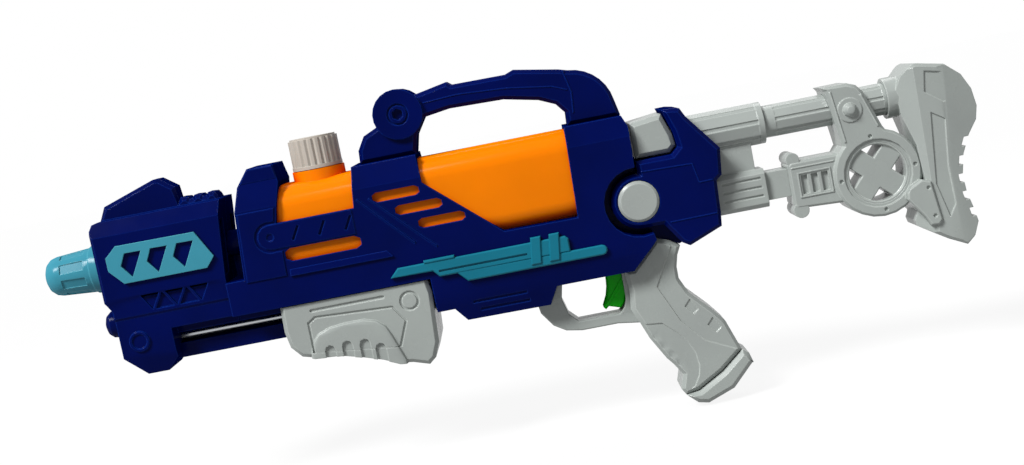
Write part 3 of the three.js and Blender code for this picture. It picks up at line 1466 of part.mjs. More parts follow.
function padPlan(grow) {
  const h = PAD_HALF + grow;
  const edge = moved(PAD_REAR, 0, [[-66, 11 + grow], [-52, 13 + grow], [-40, h], [-25, h], [1, h - 7]]);
  return [...edge, ...edge.map(([x, y]) => [x, -y]).reverse()];
}

function padBody(grow) {
  const slabbed = slab(padOutline(), PAD_HALF + grow, 2, -grow);
  const body = slabbed.intersect(column(padPlan(grow), TUBE_Z - 150, TUBE_Z + 50));
  return union(body, rodX(PAD_REAR - 58 - grow, PAD_REAR - 40, 14 + grow, 0, TUBE_Z, 20));
}

function buildPad() {
  const [r, z] = [PAD_REAR, TUBE_Z - 11.5];
  const rib = (dz) => {
    const groove = moved(r, z + dz, [[-24, -3], [2, -3], [2, 3], [-24, 3]]);
    return cut(slab(groove, PAD_HALF + 5), slab(padOutline(), PAD_HALF + 6, 0, 3));
  };
  const ribs = [-26, -38, -50, -62, -74].map(rib);
  const facet = moved(r, z, [[-33, 26], [-20, 23], [-9, 9], [-23, 3], [-35, 12]]);
  const panel = moved(r, z, [[-33, -2], [-24, -8], [-27, -40], [-26, -66], [-31, -74], [-37, -50]]);
  const deep = PAD_HALF - 1;
  const sunk = bothSides((side) =>
    union(...[facet, panel].map((line) => (side < 0 ? plate(line, -40, -deep) : plate(line, deep, 40)))),
  );
  const socket = rodX(r - 70, RING_X + 35.3, TUBE_RADIUS + 0.3, 0, TUBE_Z, 20);
  const cavity = slab(padOutline(), PAD_HALF - 3, 0, 5).intersect(column(padPlan(-3), TUBE_Z - 150, TUBE_Z + 50));
  piece("butt_pad", cut(padBody(0), ...ribs, sunk, socket, cavity), "grey");
}

buildTank();
buildCap();
buildBody();
buildShroud();
buildKnob();
buildPlates();
buildNozzle();
buildBarrel();
buildHose();
buildPump();
buildRail();
buildGrip();
buildSideRods();
buildTrigger();
buildValve();
buildPistol();
buildCarry();
buildMount();
buildButtons();
buildCore();
buildBrace();
buildTube();
buildPad();

export default root;
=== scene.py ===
"""Looks for the water squirter: materials, soft edges, trim, screws, studio and camera.

Lengths are metres in the part's own frame. Measures taken from the drawing are
millimetres from the barrel axis, and at() turns them into the frame.
"""

import json
import math

import bmesh
import bpy
from mathutils import Euler, Matrix, Vector
from mathutils.geometry import tessellate_polygon


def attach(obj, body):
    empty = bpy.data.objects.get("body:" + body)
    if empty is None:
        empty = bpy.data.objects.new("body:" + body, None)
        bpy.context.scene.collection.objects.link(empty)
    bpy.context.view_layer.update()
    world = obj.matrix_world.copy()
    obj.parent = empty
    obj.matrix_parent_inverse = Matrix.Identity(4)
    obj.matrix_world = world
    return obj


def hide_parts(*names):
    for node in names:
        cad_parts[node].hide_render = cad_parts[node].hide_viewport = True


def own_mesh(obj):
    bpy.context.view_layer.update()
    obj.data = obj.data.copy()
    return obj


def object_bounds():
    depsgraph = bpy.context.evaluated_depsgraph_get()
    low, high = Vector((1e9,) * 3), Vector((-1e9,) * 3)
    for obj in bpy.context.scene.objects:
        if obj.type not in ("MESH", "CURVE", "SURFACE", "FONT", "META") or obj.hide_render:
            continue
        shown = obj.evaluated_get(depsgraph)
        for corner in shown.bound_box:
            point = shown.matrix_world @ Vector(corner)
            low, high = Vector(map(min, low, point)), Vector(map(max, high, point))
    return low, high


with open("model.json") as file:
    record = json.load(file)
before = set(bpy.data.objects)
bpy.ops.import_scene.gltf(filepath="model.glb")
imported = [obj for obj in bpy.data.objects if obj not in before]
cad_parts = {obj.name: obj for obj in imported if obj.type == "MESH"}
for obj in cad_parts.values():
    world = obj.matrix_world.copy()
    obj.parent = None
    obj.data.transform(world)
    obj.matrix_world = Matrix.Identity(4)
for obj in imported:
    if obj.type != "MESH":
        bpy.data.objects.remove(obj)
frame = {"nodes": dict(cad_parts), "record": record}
cad_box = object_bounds()

MM = 0.001

# The frame's origin in the palm, in millimetres from the barrel axis
PALM = Vector((112.0, 0.0, -115.0))

# Camera, in millimetres from the barrel axis and degrees
IMAGE_WIDTH = 1024
FOCAL_PIXELS = 1449.0
SENSOR_WIDTH = 36.0
CAMERA_TARGET = (0.0, 0.0, -30.0)
CAMERA_DISTANCE = 1000.0
CAMERA_AZIMUTH = 1.5
CAMERA_ELEVATION = 6.0
CAMERA_ROLL = 11.16

# Colours as they look, in sRGB steps of 255
NAVY = (0, 12, 82)
# Painted highlight along the edges of the navy plastic
NAVY_PAINTED_HIGHLIGHT = (16, 52, 146)
ORANGE = (255, 131, 1)
# Painted shade, a deeper orange where the tank is shut in
ORANGE_PAINTED_SHADE = (255, 88, 0)
TEAL = (62, 148, 170)
TEAL_RODS = (20, 118, 142)
# Painted highlight along the edges of the teal plastic
TEAL_PAINTED_HIGHLIGHT = (112, 196, 210)
GREY = (162, 169, 165)
# Painted highlight along the edges of the grey plastic
GREY_PAINTED_HIGHLIGHT = (214, 221, 216)
CAP_WHITE = (192, 184, 174)
GREEN = (6, 186, 4)
CLEAR = (196, 203, 204)
RUBBER = (30, 30, 32)
STEEL = (206, 210, 214)

# Plastic: noise as (scale, detail), spans as where a fade starts and ends, lengths in millimetres
CLOUD = (22.0, 4.0)
SMEAR = (60.0, 6.0)
NOISE_SPAN = (0.3, 0.7)
GLOSS_SPREAD = 0.15
SKIN_DETAIL = 2.0
SKIN_DEPTH = 0.1
REFRACTION = 1.5
SATIN_BLEND = 0.5
SATIN_SPAN = (0.35, 0.75)
EDGE_SAMPLES = 4
# Painted edge highlights: where they start and end as the rounded normal parts from the true one, and their
# strongest share
EDGE_HIGHLIGHT_SPAN = (0.995, 0.86)
EDGE_HIGHLIGHT_SHARE = 0.7
# Painted shade in shut-in places: occlusion samples, reach in millimetres and where it fades in
PAINTED_SHADE_SAMPLES = 8
PAINTED_SHADE_REACH = 16.0
PAINTED_SHADE_SPAN = (0.3, 0.7)
SCATTER_SHARE = 0.12
SCATTER_REACH = (6.0, 3.0, 1.0)

# Bright metal
SCRATCH = (1.0, 2.0)
SCRATCH_STRETCH = (6.0, 900.0, 900.0)
SCRATCH_SPREAD = (0.7, 1.5)

# Sockets of a colour mix, which share their names with those of other kinds of mix
MIX_SHARE, MIX_FIRST, MIX_SECOND, MIX_RESULT = 0, 6, 7, 2

# Light; a lamp is its name, place in millimetres, size in metres and power
MIRRORED_SHARE = 0.6
SKY_STRENGTH = 0.22
SUN_STRENGTH = 3.5
SUN_TOWARDS = (-0.52, -0.5, 0.69)
SUN_SPREAD = 18.0
LAMP_AIM = (0, 0, 0)
LAMPS = (
    ("spark", (-160, -520, 720), (0.14, 0.14), 1.2),
    ("rim", (150, 600, 700), (1.0, 0.4), 3.0),
)

# Floor, with its reach in metres and its gap under the part in millimetres
FLOOR_REACH = 6.0
FLOOR_GAP = 2.0
GROUND_SHARE = 0.7
GROUND_GLOW = 1.27
GROUND_BOUNCE = (160, 160, 160)
GROUND_ROUGHNESS = 0.9

# Smoothing: points nearer than the weld join, in millimetres, and edges past an angle in degrees stay crisp
WELD = 0.01
SMOOTH_ANGLE = 26.0
CRISP_ANGLE = 18.0
ROUND_ANGLE = 40.0

# Screws on the far side: profiles as (added radius, height), places as (x, y of the face, z), turn in radians
SCREW_RADIUS = 2.7
SCREW_SEAT = 0.3
SCREW_CROWN = 0.75
SCREW_PROFILE = ((0.0, -SCREW_SEAT), (0.0, 0.35), (-0.25, 0.6), (-0.8, SCREW_CROWN))
SCREW_STEPS = 24
SCREW_TURN = 0.7
RECESS_REACH = SCREW_RADIUS / 2
RECESS_HALF = 0.34
RECESS_TAPER = 0.8
RECESS_FLOOR = 0.1
COLLAR_RADIUS = 4.1
COLLAR_OUTSIDE = ((0.0, -SCREW_SEAT), (0.0, 0.6), (-0.35, 0.9))
COLLAR_INSIDE = ((0.45, 0.9), (0.2, 0.7), (0.2, -SCREW_SEAT))
CASING_SCREWS = (
    (-168, 30.5, -36),
    (-168, 31.5, 12),
    (-95, 30.5, -36),
    (58, 30.5, -40),
    (-202, 27, -16),
    (-228, 24, -40),
    (122, 27, -47.5),
    (119, 27, -14),
    (68, 13, 57),
)
HANDLE_SCREWS = ((84, 17, -92), (118, 17, -142))
PUMP_SCREWS = ((-150, 29, -56), (-76, 29, -80))

# Thread on the filler spout; seat, foot and crest are those of its section
NECK_X = -122
SPOUT_RADIUS = 13.4
SPOUT_FOOT = 43.5
THREAD_STARTS = 4
THREAD_STEPS = 30
THREAD_LEAD = 12
THREAD_RISE = 11
THREAD_FADE = 6
THREAD_HEIGHT = 0.28
THREAD_SEAT = 0.2
THREAD_FOOT = 0.8
THREAD_CREST = 0.3

# Springs: node, joint, axis, fixed end and travel
SPRINGS = (
    ("valve_spring", "valve_push", (1, 0, 0), (50.2, 0, -41), 3.75),
    ("button_spring_left", "left_button_press", (0, 1, 0), (88, -18.2, -23), 2.6),
    ("button_spring_right", "right_button_press", (0, 1, 0), (88, 18.2, -23), 2.6),
)

# Trim: points as (x, z), raised lines as (width, height), arcs as first angle, last angle and steps
TRIM_SEAT = 0.7
FLANK_SHARE = 0.3
LINE_SIZE = (1.2, 0.5)

# Panels, ribs and sill on the sides of the body
BODY_HALF = 30.5
PANEL_HEIGHT = 1.0
PANEL_CHAMFER = 0.45
PANEL_FRONT = ((-177.9, 20.3), (-180.6, -26.5), (-153, -26.5), (-152.4, -9.2))
PANEL_REAR = ((-154.3, 11), (-152.3, 20.3))
ARM_END = (-159, 1)
ARM_CLEAR = 10.2
ARM_ARC = (282, 78, 17)
BODY_RIBS = (((-97, 15), (-64, -21)), ((-89, 14), (-50, -26)))
RIB_SIZE = (1.3, 0.8)
SILL_LOW = ((-150.5, -27.2), (-80, -27.2))
SILL_HIGH = ((-84, -22.6), (-150.5, -22.6))
SILL_HEIGHT = 1.6

# Cheeks of the tower, and lines on the carry handle and the stock mount
TOWER_CHEEK = ((-173.6, 38.7), (-147.6, 38.7), (-149.3, 48.2), (-166.6, 48.2))
TOWER_INSIDE = 20.0
TOWER_HALF = 23.9
TOWER_CHAMFER = 0.5
HANDLE_HALF = 13.0
HANDLE_LINE = ((-42, 69.2), (-17.7, 70.4), (15.1, 68.1), (45.7, 63.3), (55.4, 59.2))
HANDLE_COLLAR = ((54.4, 72.6), (57.8, 57.6), (56.6, 43))
HANDLE_COLLAR_SIZE = (1.4, 0.6)
MOUNT_HALF = 27.0
MOUNT_STEP = ((93, -3.8), (127.6, -4.8), (130.2, -18), (139.2, -17.8))
MOUNT_FOLD = ((106.5, -40.8), (138.4, -40.4))

# Webs in the middle plane, under the barrel and behind the stock hub
WEB_CHAMFER = 0.3
BARREL_WEB = ((-192, -24.3), (-179.5, -24.3), (-179.5, -8), (-192, -8))
BARREL_WEB_HALF = 1.5
HUB = (88, -23)
HUB_WEB_RADIUS = 24.2
HUB_WEB_ARC = (87, 285, 22)
HUB_WEB_FOOT = ((96.2, -52), (111.5, -58.5), (115.5, -56.5), (107, -42), (98, -30))
HUB_WEB_HALF = 9.0

# Cheeks beside the back of the trigger
CHEEK_INSIDE = 7.6
CHEEK_THICK = 1.4
CHEEK_CHAMFER = 0.5
CHEEK_REAR = ((62, -99.5), (76, -99.5), (76, -68), (68.6, -68))
CHEEK_CENTRE = (54.5, -87)
CHEEK_CURVE = 13.7
CHEEK_ARC = (0, -56, 8)

# Strip over the seam of the pump grip, as high as the swell or the finger hollows that it crosses
PUMP_HALF = 29.0
PUMP_SEAM = ((-145, -81.74), (-91.4, -87.89))
SEAM_WIDTH = 1.3
SWELL_HEIGHT = 2.81
HOLLOW_HEIGHT = 1.01
FINGER_HOLLOWS = (-134.8, -122.9, -111, -101)
FINGER_HALF = 3.6

# Rims, rail and slot frame on the stock
CLAMP_HALF = 16.0
CLAMP_RIMS = (((227.8, 24), (232.6, -11.8)), ((247.6, 18.6), (256, -4.9)))
CLAMP_RIM_SIZE = (1.7, 0.8)
SLIDER_HALF = 13.4
SLIDER_RAIL = ((193.8, -22.3), (223.6, -22.3))
SLIDER_RAIL_SIZE = (1.3, 0.6)
SLOT_FRAME = ((197.3, -43.2), (220.2, -43.2), (220.2, -25.8), (197.3, -25.8))
SLOT_FRAME_SIZE = (1.1, 0.6)

# Cross in the ring of the stock, and its rim
RING_CENTRE = (251, 0, -36)
CROSS_TURN = -42.0
CROSS_REACH = 20.9
CROSS_ARM = 7.3
CROSS_HALF = 12.5
CROSS_CHAMFER = 0.6
RIM_RADIUS = 21.0
RIM_BORE = 19.2
RIM_HALF = 14.4
RIM_STEPS = 48


def at(x, y, z):
    """A drawing point in millimetres as a frame point in metres."""
    return (Vector((x, y, z)) - PALM) * MM


def linear(colour):
    """An sRGB colour in steps of 255 as the linear RGBA that shaders take."""

    def channel(step):
        value = step / 255
        return value / 12.92 if value <= 0.04045 else ((value + 0.055) / 1.055) ** 2.4

    return (*[channel(step) for step in colour], 1.0)


# Materials


def new_material(name):
    material = bpy.data.materials.new(name)
    material.use_nodes = True
    nodes = material.node_tree.nodes
    return material, nodes, material.node_tree.links, nodes["Principled BSDF"]


def add_noise(nodes, links, place, scale, detail):
    noise = nodes.new("ShaderNodeTexNoise")
    noise.inputs["Scale"].default_value = scale
    noise.inputs["Detail"].default_value = detail
    links.new(place, noise.inputs["Vector"])
    return noise.outputs["Fac"]


def add_fade(nodes, links, source, span, values):
    """Runs from the first value to the last while the source crosses the span."""
    fade = nodes.new("ShaderNodeMapRange")
    for socket, value in zip(("From Min", "From Max", "To Min", "To Max"), (*span, *values)):
        fade.inputs[socket].default_value = value
    links.new(source, fade.inputs["Value"])
    return fade.outputs["Result"]


def add_mix(nodes, links, share, first, second):
    """Mixes two colours, each given in sRGB steps or as the socket that makes it."""
    mix = nodes.new("ShaderNodeMix")
    mix.data_type = "RGBA"
    links.new(share, mix.inputs[MIX_SHARE])
    for socket, colour in ((mix.inputs[MIX_FIRST], first), (mix.inputs[MIX_SECOND], second)):
        if isinstance(colour, tuple):
            socket.default_value = linear(colour)
        else:
            links.new(colour, socket)
    return mix.outputs[MIX_RESULT]


def add_satin(nodes, links, shine):
    """Gloss that fades where a face is seen at a slant, so that dark faces stay dark."""
    slant = nodes.new("ShaderNodeLayerWeight")
    slant.inputs["Blend"].default_value = SATIN_BLEND
    return add_fade(nodes, links, slant.outputs["Facing"], SATIN_SPAN, (shine, 0.0))


def add_painted_edge_highlights(nodes, links, rounded, colour, edge_highlight):
    """Paints highlights along edges: mixes a paler colour in where the rounded normal leaves the true one."""
    geometry = nodes.new("ShaderNodeNewGeometry")
    agree = nodes.new("ShaderNodeVectorMath")
    agree.operation = "DOT_PRODUCT"
    links.new(rounded, agree.inputs[0])
    links.new(geometry.outputs["Normal"], agree.inputs[1])
    highlight_share = add_fade(nodes, links, agree.outputs["Value"], EDGE_HIGHLIGHT_SPAN, (0.0, EDGE_HIGHLIGHT_SHARE))
    return add_mix(nodes, links, highlight_share, colour, edge_highlight)


def add_painted_shade(nodes, links, colour, painted_shade):
    """Paints shade: mixes a deeper colour in where the surface is shut in, standing in for light and shade in
    translucent plastic.
    """
    opening = nodes.new("ShaderNodeAmbientOcclusion")
    opening.samples = PAINTED_SHADE_SAMPLES
    opening.inputs["Distance"].default_value = PAINTED_SHADE_REACH * MM
    openness = add_fade(nodes, links, opening.outputs["AO"], PAINTED_SHADE_SPAN, (0.0, 1.0))
    return add_mix(nodes, links, openness, painted_shade, colour)


def add_rounding(nodes, edge):
    """The normal of edges rounded by a radius in millimetres."""
    rounded = nodes.new("ShaderNodeBevel")
    rounded.samples = EDGE_SAMPLES
    rounded.inputs["Radius"].default_value = edge * MM
    return rounded.outputs["Normal"]


def add_skin(nodes, links, place, rounded, strength, scale):
    """A fine moulded skin over the rounded edges."""
    bump = nodes.new("ShaderNodeBump")
    bump.inputs["Strength"].default_value = strength
    bump.inputs["Distance"].default_value = SKIN_DEPTH * MM
    links.new(add_noise(nodes, links, place, scale, SKIN_DETAIL), bump.inputs["Height"])
    links.new(rounded, bump.inputs["Normal"])
    return bump.outputs["Normal"]


def moulded_plastic(name, colour, shade, roughness, skin, edge, shine=0.5, satin=False, edge_highlight=None, painted_shade=None):
    """Moulded plastic: cloudy tint, uneven gloss, a fine skin and rounded edges.

    Shade darkens the clouds, skin is the strength and scale of the grain, the edge colour
    is a painted highlight along the edges, and the deep colour is painted shade where the
    surface is shut in and also makes the plastic translucent.
    """
    material, nodes, links, shader = new_material(name)
    place = nodes.new("ShaderNodeTexCoord").outputs["Object"]
    rounded = add_rounding(nodes, edge)
    cloud = add_fade(nodes, links, add_noise(nodes, links, place, *CLOUD), NOISE_SPAN, (0.0, 1.0))
    tint = add_mix(nodes, links, cloud, colour, tuple(round(step * shade) for step in colour))
    # Painted highlights along the edges
    if edge_highlight:
        tint = add_painted_edge_highlights(nodes, links, rounded, tint, edge_highlight)
    # Painted shade where the surface is shut in, and real translucency
    if painted_shade:
        tint = add_painted_shade(nodes, links, tint, painted_shade)
        shader.inputs["Subsurface Weight"].default_value = SCATTER_SHARE
        shader.inputs["Subsurface Radius"].default_value = tuple(reach * MM for reach in SCATTER_REACH)
        shader.inputs["Subsurface Scale"].default_value = 1.0
    links.new(tint, shader.inputs["Base Color"])
    smear = add_noise(nodes, links, place, *SMEAR)
    glosses = (roughness * (1 - GLOSS_SPREAD), roughness * (1 + GLOSS_SPREAD))
    links.new(add_fade(nodes, links, smear, NOISE_SPAN, glosses), shader.inputs["Roughness"])
    links.new(add_skin(nodes, links, place, rounded, *skin), shader.inputs["Normal"])
    shader.inputs["IOR"].default_value = REFRACTION
    if satin:
        links.new(add_satin(nodes, links, shine), shader.inputs["Specular IOR Level"])
    else:
        shader.inputs["Specular IOR Level"].default_value = shine
    return material


def bright_metal(name, colour, roughness):
    """Drawn bright metal with fine scratches along its length."""
    material, nodes, links, shader = new_material(name)
    place = nodes.new("ShaderNodeTexCoord").outputs["Object"]
    stretch = nodes.new("ShaderNodeMapping")
    stretch.inputs["Scale"].default_value = SCRATCH_STRETCH
    links.new(place, stretch.inputs["Vector"])
    scratch = add_noise(nodes, links, stretch.outputs["Vector"], *SCRATCH)
    glosses = [roughness * share for share in SCRATCH_SPREAD]
    links.new(add_fade(nodes, links, scratch, NOISE_SPAN, glosses), shader.inputs["Roughness"])
    shader.inputs["Base Color"].default_value = linear(colour)
    shader.inputs["Metallic"].default_value = 1.0
    return material


navy = moulded_plastic(
    "navy_plastic", NAVY, shade=0.86, roughness=0.16, skin=(0.03, 900.0), edge=1.2,
    shine=0.035, satin=True, edge_highlight=NAVY_PAINTED_HIGHLIGHT,
)
orange = moulded_plastic(
    "orange_plastic", ORANGE, shade=0.96, roughness=0.2, skin=(0.04, 700.0), edge=0.6,
    shine=0.07, satin=True, painted_shade=ORANGE_PAINTED_SHADE,
)
teal = moulded_plastic(
    "teal_plastic", TEAL, shade=0.93, roughness=0.2, skin=(0.05, 900.0), edge=0.7,
    shine=0.14, satin=True, edge_highlight=TEAL_PAINTED_HIGHLIGHT,
)
teal_rods = moulded_plastic(
    "teal_rod_plastic", TEAL_RODS, shade=0.92, roughness=0.2, skin=(0.05, 900.0), edge=0.7,
    shine=0.12, satin=True,
)
grey = moulded_plastic(
    "grey_plastic", GREY, shade=0.955, roughness=0.26, skin=(0.08, 1500.0), edge=1.0,
    edge_highlight=GREY_PAINTED_HIGHLIGHT,
)
cap_white = moulded_plastic(
    "cap_plastic", CAP_WHITE, shade=0.95, roughness=0.4, skin=(0.1, 1200.0), edge=0.4,
    shine=0.4,
)
green = moulded_plastic(
    "green_plastic", GREEN, shade=0.9, roughness=0.3, skin=(0.05, 900.0), edge=0.5,
    shine=0.15, satin=True,
)
clear = moulded_plastic(
    "natural_plastic", CLEAR, shade=0.95, roughness=0.3, skin=(0.05, 900.0), edge=0.3,
)
rubber = moulded_plastic(
    "rubber", RUBBER, shade=0.8, roughness=0.6, skin=(0.12, 1200.0), edge=0.3,
    shine=0.3,
)
steel = bright_metal("bright_steel", STEEL, roughness=0.26)

LOOKS = {
    "navy": navy,
    "orange": orange,
    "teal": teal,
    "grey": grey,
    "white": cap_white,
    "green": green,
    "steel": steel,
    "rubber": rubber,
    "clear": clear,
}
SPECIAL_LOOKS = {"side_rods_left": teal_rods, "side_rods_right": teal_rods}


# Soft shading of the CAD nodes


def smoothing_group(angle):
    """A modifier that joins doubled points and keeps edges sharper than angle crisp."""
    group = bpy.data.node_groups.new(f"smooth_under_{angle:.0f}", "GeometryNodeTree")
    for direction in ("INPUT", "OUTPUT"):
        group.interface.new_socket("Geometry", in_out=direction, socket_type="NodeSocketGeometry")
    nodes, links = group.nodes, group.links
    source = nodes.new("NodeGroupInput")
    result = nodes.new("NodeGroupOutput")
    weld = nodes.new("GeometryNodeMergeByDistance")
    weld.inputs["Distance"].default_value = WELD * MM
    smooth = nodes.new("GeometryNodeSetShadeSmooth")
    sharp = nodes.new("GeometryNodeSetShadeSmooth")
    sharp.domain = "EDGE"
    sharp.inputs["Shade Smooth"].default_value = False
    edge_angle = nodes.new("GeometryNodeInputMeshEdgeAngle")
    crisp = nodes.new("FunctionNodeCompare")
    crisp.data_type = "FLOAT"
    crisp.operation = "GREATER_THAN"
    crisp.inputs["B"].default_value = math.radians(angle)
    links.new(source.outputs[0], weld.inputs["Geometry"])
    links.new(weld.outputs["Geometry"], smooth.inputs["Geometry"])
    links.new(smooth.outputs["Geometry"], sharp.inputs["Geometry"])
    links.new(edge_angle.outputs["Unsigned Angle"], crisp.inputs["A"])
    links.new(crisp.outputs["Result"], sharp.inputs["Selection"])
    links.new(sharp.outputs["Geometry"], result.inputs[0])
    return group


def soften(piece, group):
    smoothing = piece.modifiers.new("smoothing", "NODES")
    smoothing.node_group = group
    weighted = piece.modifiers.new("weighted_normals", "WEIGHTED_NORMAL")
    weighted.keep_sharp = True


SMOOTH = smoothing_group(SMOOTH_ANGLE)
CRISP = smoothing_group(CRISP_ANGLE)
ROUND = smoothing_group(ROUND_ANGLE)
SPECIAL_SMOOTHING = {
    **dict.fromkeys(("body_shell_left", "body_shell_right"), CRISP),
    **dict.fromkeys(("tank", "nozzle", "outlet_hose", *(spring[0] for spring in SPRINGS)), ROUND),
}

slots = {entry["node"]: entry["material_slot"] for entry in frame["record"]["subparts"]}
for name, node in frame["nodes"].items():
    node.data.materials.clear()
    node.data.materials.append(SPECIAL_LOOKS.get(name, LOOKS[slots[name]]))
    soften(node, SPECIAL_SMOOTHING.get(name, SMOOTH))


# Shells of the small pieces


class Shell:
    """Points and faces of a piece while it is put together, in millimetres."""

    def __init__(self):
        self.points = []
        self.faces = []

    def loop(self, outline, height):
        first = len(self.points)
        self.points += [Vector((point.x, point.y, point.z + height)) for point in outline]
        return list(range(first, len(self.points)))

    def band(self, low, high):
        for i, start in enumerate(low):
            after = (i + 1) % len(low)
            self.faces.append((start, low[after], high[after], high[i]))

    def cap(self, *loops):
        """Fills the first loop, less the loops after it."""
        order = [index for loop in loops for index in loop]
        corners = [[self.points[index] for index in loop] for loop in loops]
        self.faces += [tuple(order[i] for i in face) for face in tessellate_polygon(corners)]

    def rings(self, outlines):
        """Stacks (outline, height) loops of equal count from bottom to top."""
        loops = [self.loop(outline, height) for outline, height in outlines]
        for low, high in zip(loops, loops[1:]):
            self.band(low, high)
        return loops[0], loops[-1]


def closed_shell(outlines):
    """A stack of (outline, height) loops with both ends filled."""
    shell = Shell()
    for end in shell.rings(outlines):
        shell.cap(end)
    return shell


def hollow_shell(outlines):
    """A stack of (outline, height) loops whose last loop joins its first."""
    shell = Shell()
    first, last = shell.rings(outlines)
    shell.band(last, first)
    return shell


def circle(radius, steps):
    turns = [2 * math.pi * i / steps for i in range(steps)]
    return [Vector((radius * math.cos(turn), radius * math.sin(turn), 0)) for turn in turns]


def arc(centre, radius, first, last, steps):
    turns = [math.radians(first + (last - first) * i / steps) for i in range(steps + 1)]
    return [(centre[0] + radius * math.cos(turn), centre[1] + radius * math.sin(turn)) for turn in turns]


def plus_sign(reach, half):
    """Outline of a cross."""
    arm = [(reach, -half), (reach, half), (half, half)]
    quarters = [Matrix.Rotation(math.pi / 2 * i, 3, "Z") for i in range(4)]
    return [quarter @ Vector((x, y, 0)) for quarter in quarters for x, y in arm]


def flat(points, height=0.0):
    return [Vector((x, z, height)) for x, z in points]


def inset(outline, by):
    """A counter-clockwise outline moved inwards, with mitred corners."""
    moved = []
    for i, here in enumerate(outline):
        before = (here - outline[i - 1]).normalized()
        after = (outline[(i + 1) % len(outline)] - here).normalized()
        normals = [Vector((-edge.y, edge.x, 0)) for edge in (before, after)]
        moved.append(here + (normals[0] + normals[1]) * (by / (1 + normals[0].dot(normals[1]))))
    return moved


def plate(outline, height, chamfer, seat=TRIM_SEAT):
    """A raised plate with a chamfered edge, sunk by its seat."""
    return closed_shell([(outline, -seat), (outline, height - chamfer), (inset(outline, chamfer), height)])


def ridge(start, end, width, height):
    """A raised line with slanted flanks."""
    start, end = flat((start, end))
    along = (end - start).normalized()
    aside = Vector((-along.y, along.x, 0)) * width / 2
    outline = [start - aside, end - aside, end + aside, start + aside]
    return plate(outline, height, width * FLANK_SHARE)


def strip(path, width, height):
    """A raised line that bends with a path."""
    return [ridge(start, end, width, height) for start, end in zip(path, path[1:])]


def slot_frame(outline, width, height):
    """A raised frame along the inside of an outline."""
    inner = inset(outline, width)
    return hollow_shell([(outline, -TRIM_SEAT), (outline, height), (inner, height), (inner, -TRIM_SEAT)])


def wedge(low, high, height):
    """A sill that slopes from the skin at its high edge to full height at its low edge."""
    return closed_shell([(flat(low + high), -TRIM_SEAT), (flat(low, height) + flat(high), 0.0)])


def on_side(side, face):
    """Lays an outline of x and z on the face at y = side * face, with heights outwards."""
    return Matrix(((1, 0, 0, 0), (0, 0, side, side * face), (0, 1, 0, 0), (0, 0, 0, 1)))


def both_sides(face, shells):
    return [(shell, on_side(side, face)) for side in (-1, 1) for shell in shells]


def middle_web(outline, half):
    """A web across the middle plane, with half of its width on each side."""
    return plate(outline, half, WEB_CHAMFER, seat=half), on_side(-1, 0)


def add_piece(name, shells, body, look):
    """One piece from placed shells: (shell, placing matrix in millimetres)."""
    points, faces = [], []
    for shell, place in shells:
        first = len(points)
        points += [at(*(place @ point)) for point in shell.points]
        faces += [tuple(index + first for index in face) for face in shell.faces]
    mesh = bpy.data.meshes.new(name)
    mesh.from_pydata(points, [], faces)
    turned = bmesh.new()
    turned.from_mesh(mesh)
    bmesh.ops.recalc_face_normals(turned, faces=turned.faces)
    turned.to_mesh(mesh)
    turned.free()
    piece = bpy.data.objects.new(name, mesh)
    bpy.context.scene.collection.objects.link(piece)
    mesh.materials.append(look)
    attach(piece, body)
    soften(piece, SMOOTH)
    return piece


# Trim


def panel_outline():
    """The front panel, with a round notch for the end of the raised arm."""
    return flat((*PANEL_FRONT, *arc(ARM_END, ARM_CLEAR, *ARM_ARC), *PANEL_REAR))


def hub_web_outline():
    """The web behind the round gap between the body and the stock mount."""
    return flat((*arc(HUB, HUB_WEB_RADIUS, *HUB_WEB_ARC), *HUB_WEB_FOOT))


def add_body_trim():
    """Panels, ribs, sill, cheeks and lines of the casing, and the webs behind its gaps."""
    panel = plate(panel_outline(), PANEL_HEIGHT, PANEL_CHAMFER)
    sill = wedge(SILL_LOW, SILL_HIGH, SILL_HEIGHT)
    ribs = [ridge(*rib, *RIB_SIZE) for rib in BODY_RIBS]
    cheek = plate(flat(TOWER_CHEEK), TOWER_HALF - TOWER_INSIDE, TOWER_CHAMFER)
    handle = strip(HANDLE_LINE, *LINE_SIZE) + strip(HANDLE_COLLAR, *HANDLE_COLLAR_SIZE)
    mount = strip(MOUNT_STEP, *LINE_SIZE) + strip(MOUNT_FOLD, *LINE_SIZE)
    shells = both_sides(BODY_HALF, [panel, sill, *ribs]) + both_sides(TOWER_INSIDE, [cheek])
    shells += both_sides(HANDLE_HALF, handle) + both_sides(MOUNT_HALF, mount)
    shells.append(middle_web(flat(BARREL_WEB), BARREL_WEB_HALF))
    shells.append(middle_web(hub_web_outline(), HUB_WEB_HALF))
    add_piece("body_trim", shells, "casing", navy)


def add_trigger_cheeks():
    """Cheeks of the grip that the back of the trigger runs between."""
    outline = flat((*CHEEK_REAR, *arc(CHEEK_CENTRE, CHEEK_CURVE, *CHEEK_ARC)))
    cheek = plate(outline, CHEEK_THICK, CHEEK_CHAMFER, seat=0.0)
    add_piece("trigger_cheeks", both_sides(CHEEK_INSIDE, [cheek]), "casing", grey)


def add_pump_trim():
    """Closes the seam across the palm swell, flush with the swell and its finger hollows."""
    (first, high), (last, low) = PUMP_SEAM
    sides = [x + side * FINGER_HALF for x in FINGER_HOLLOWS for side in (-1, 1)]
    ends = [first, *sides, last]
    path = [(x, high + (low - high) * (x - first) / (last - first)) for x in ends]
    heights = [HOLLOW_HEIGHT if i % 2 else SWELL_HEIGHT for i in range(len(path) - 1)]
    strips = [ridge(*pair, SEAM_WIDTH, height) for *pair, height in zip(path, path[1:], heights)]
    add_piece("pump_trim", both_sides(PUMP_HALF, strips), "pump", grey)


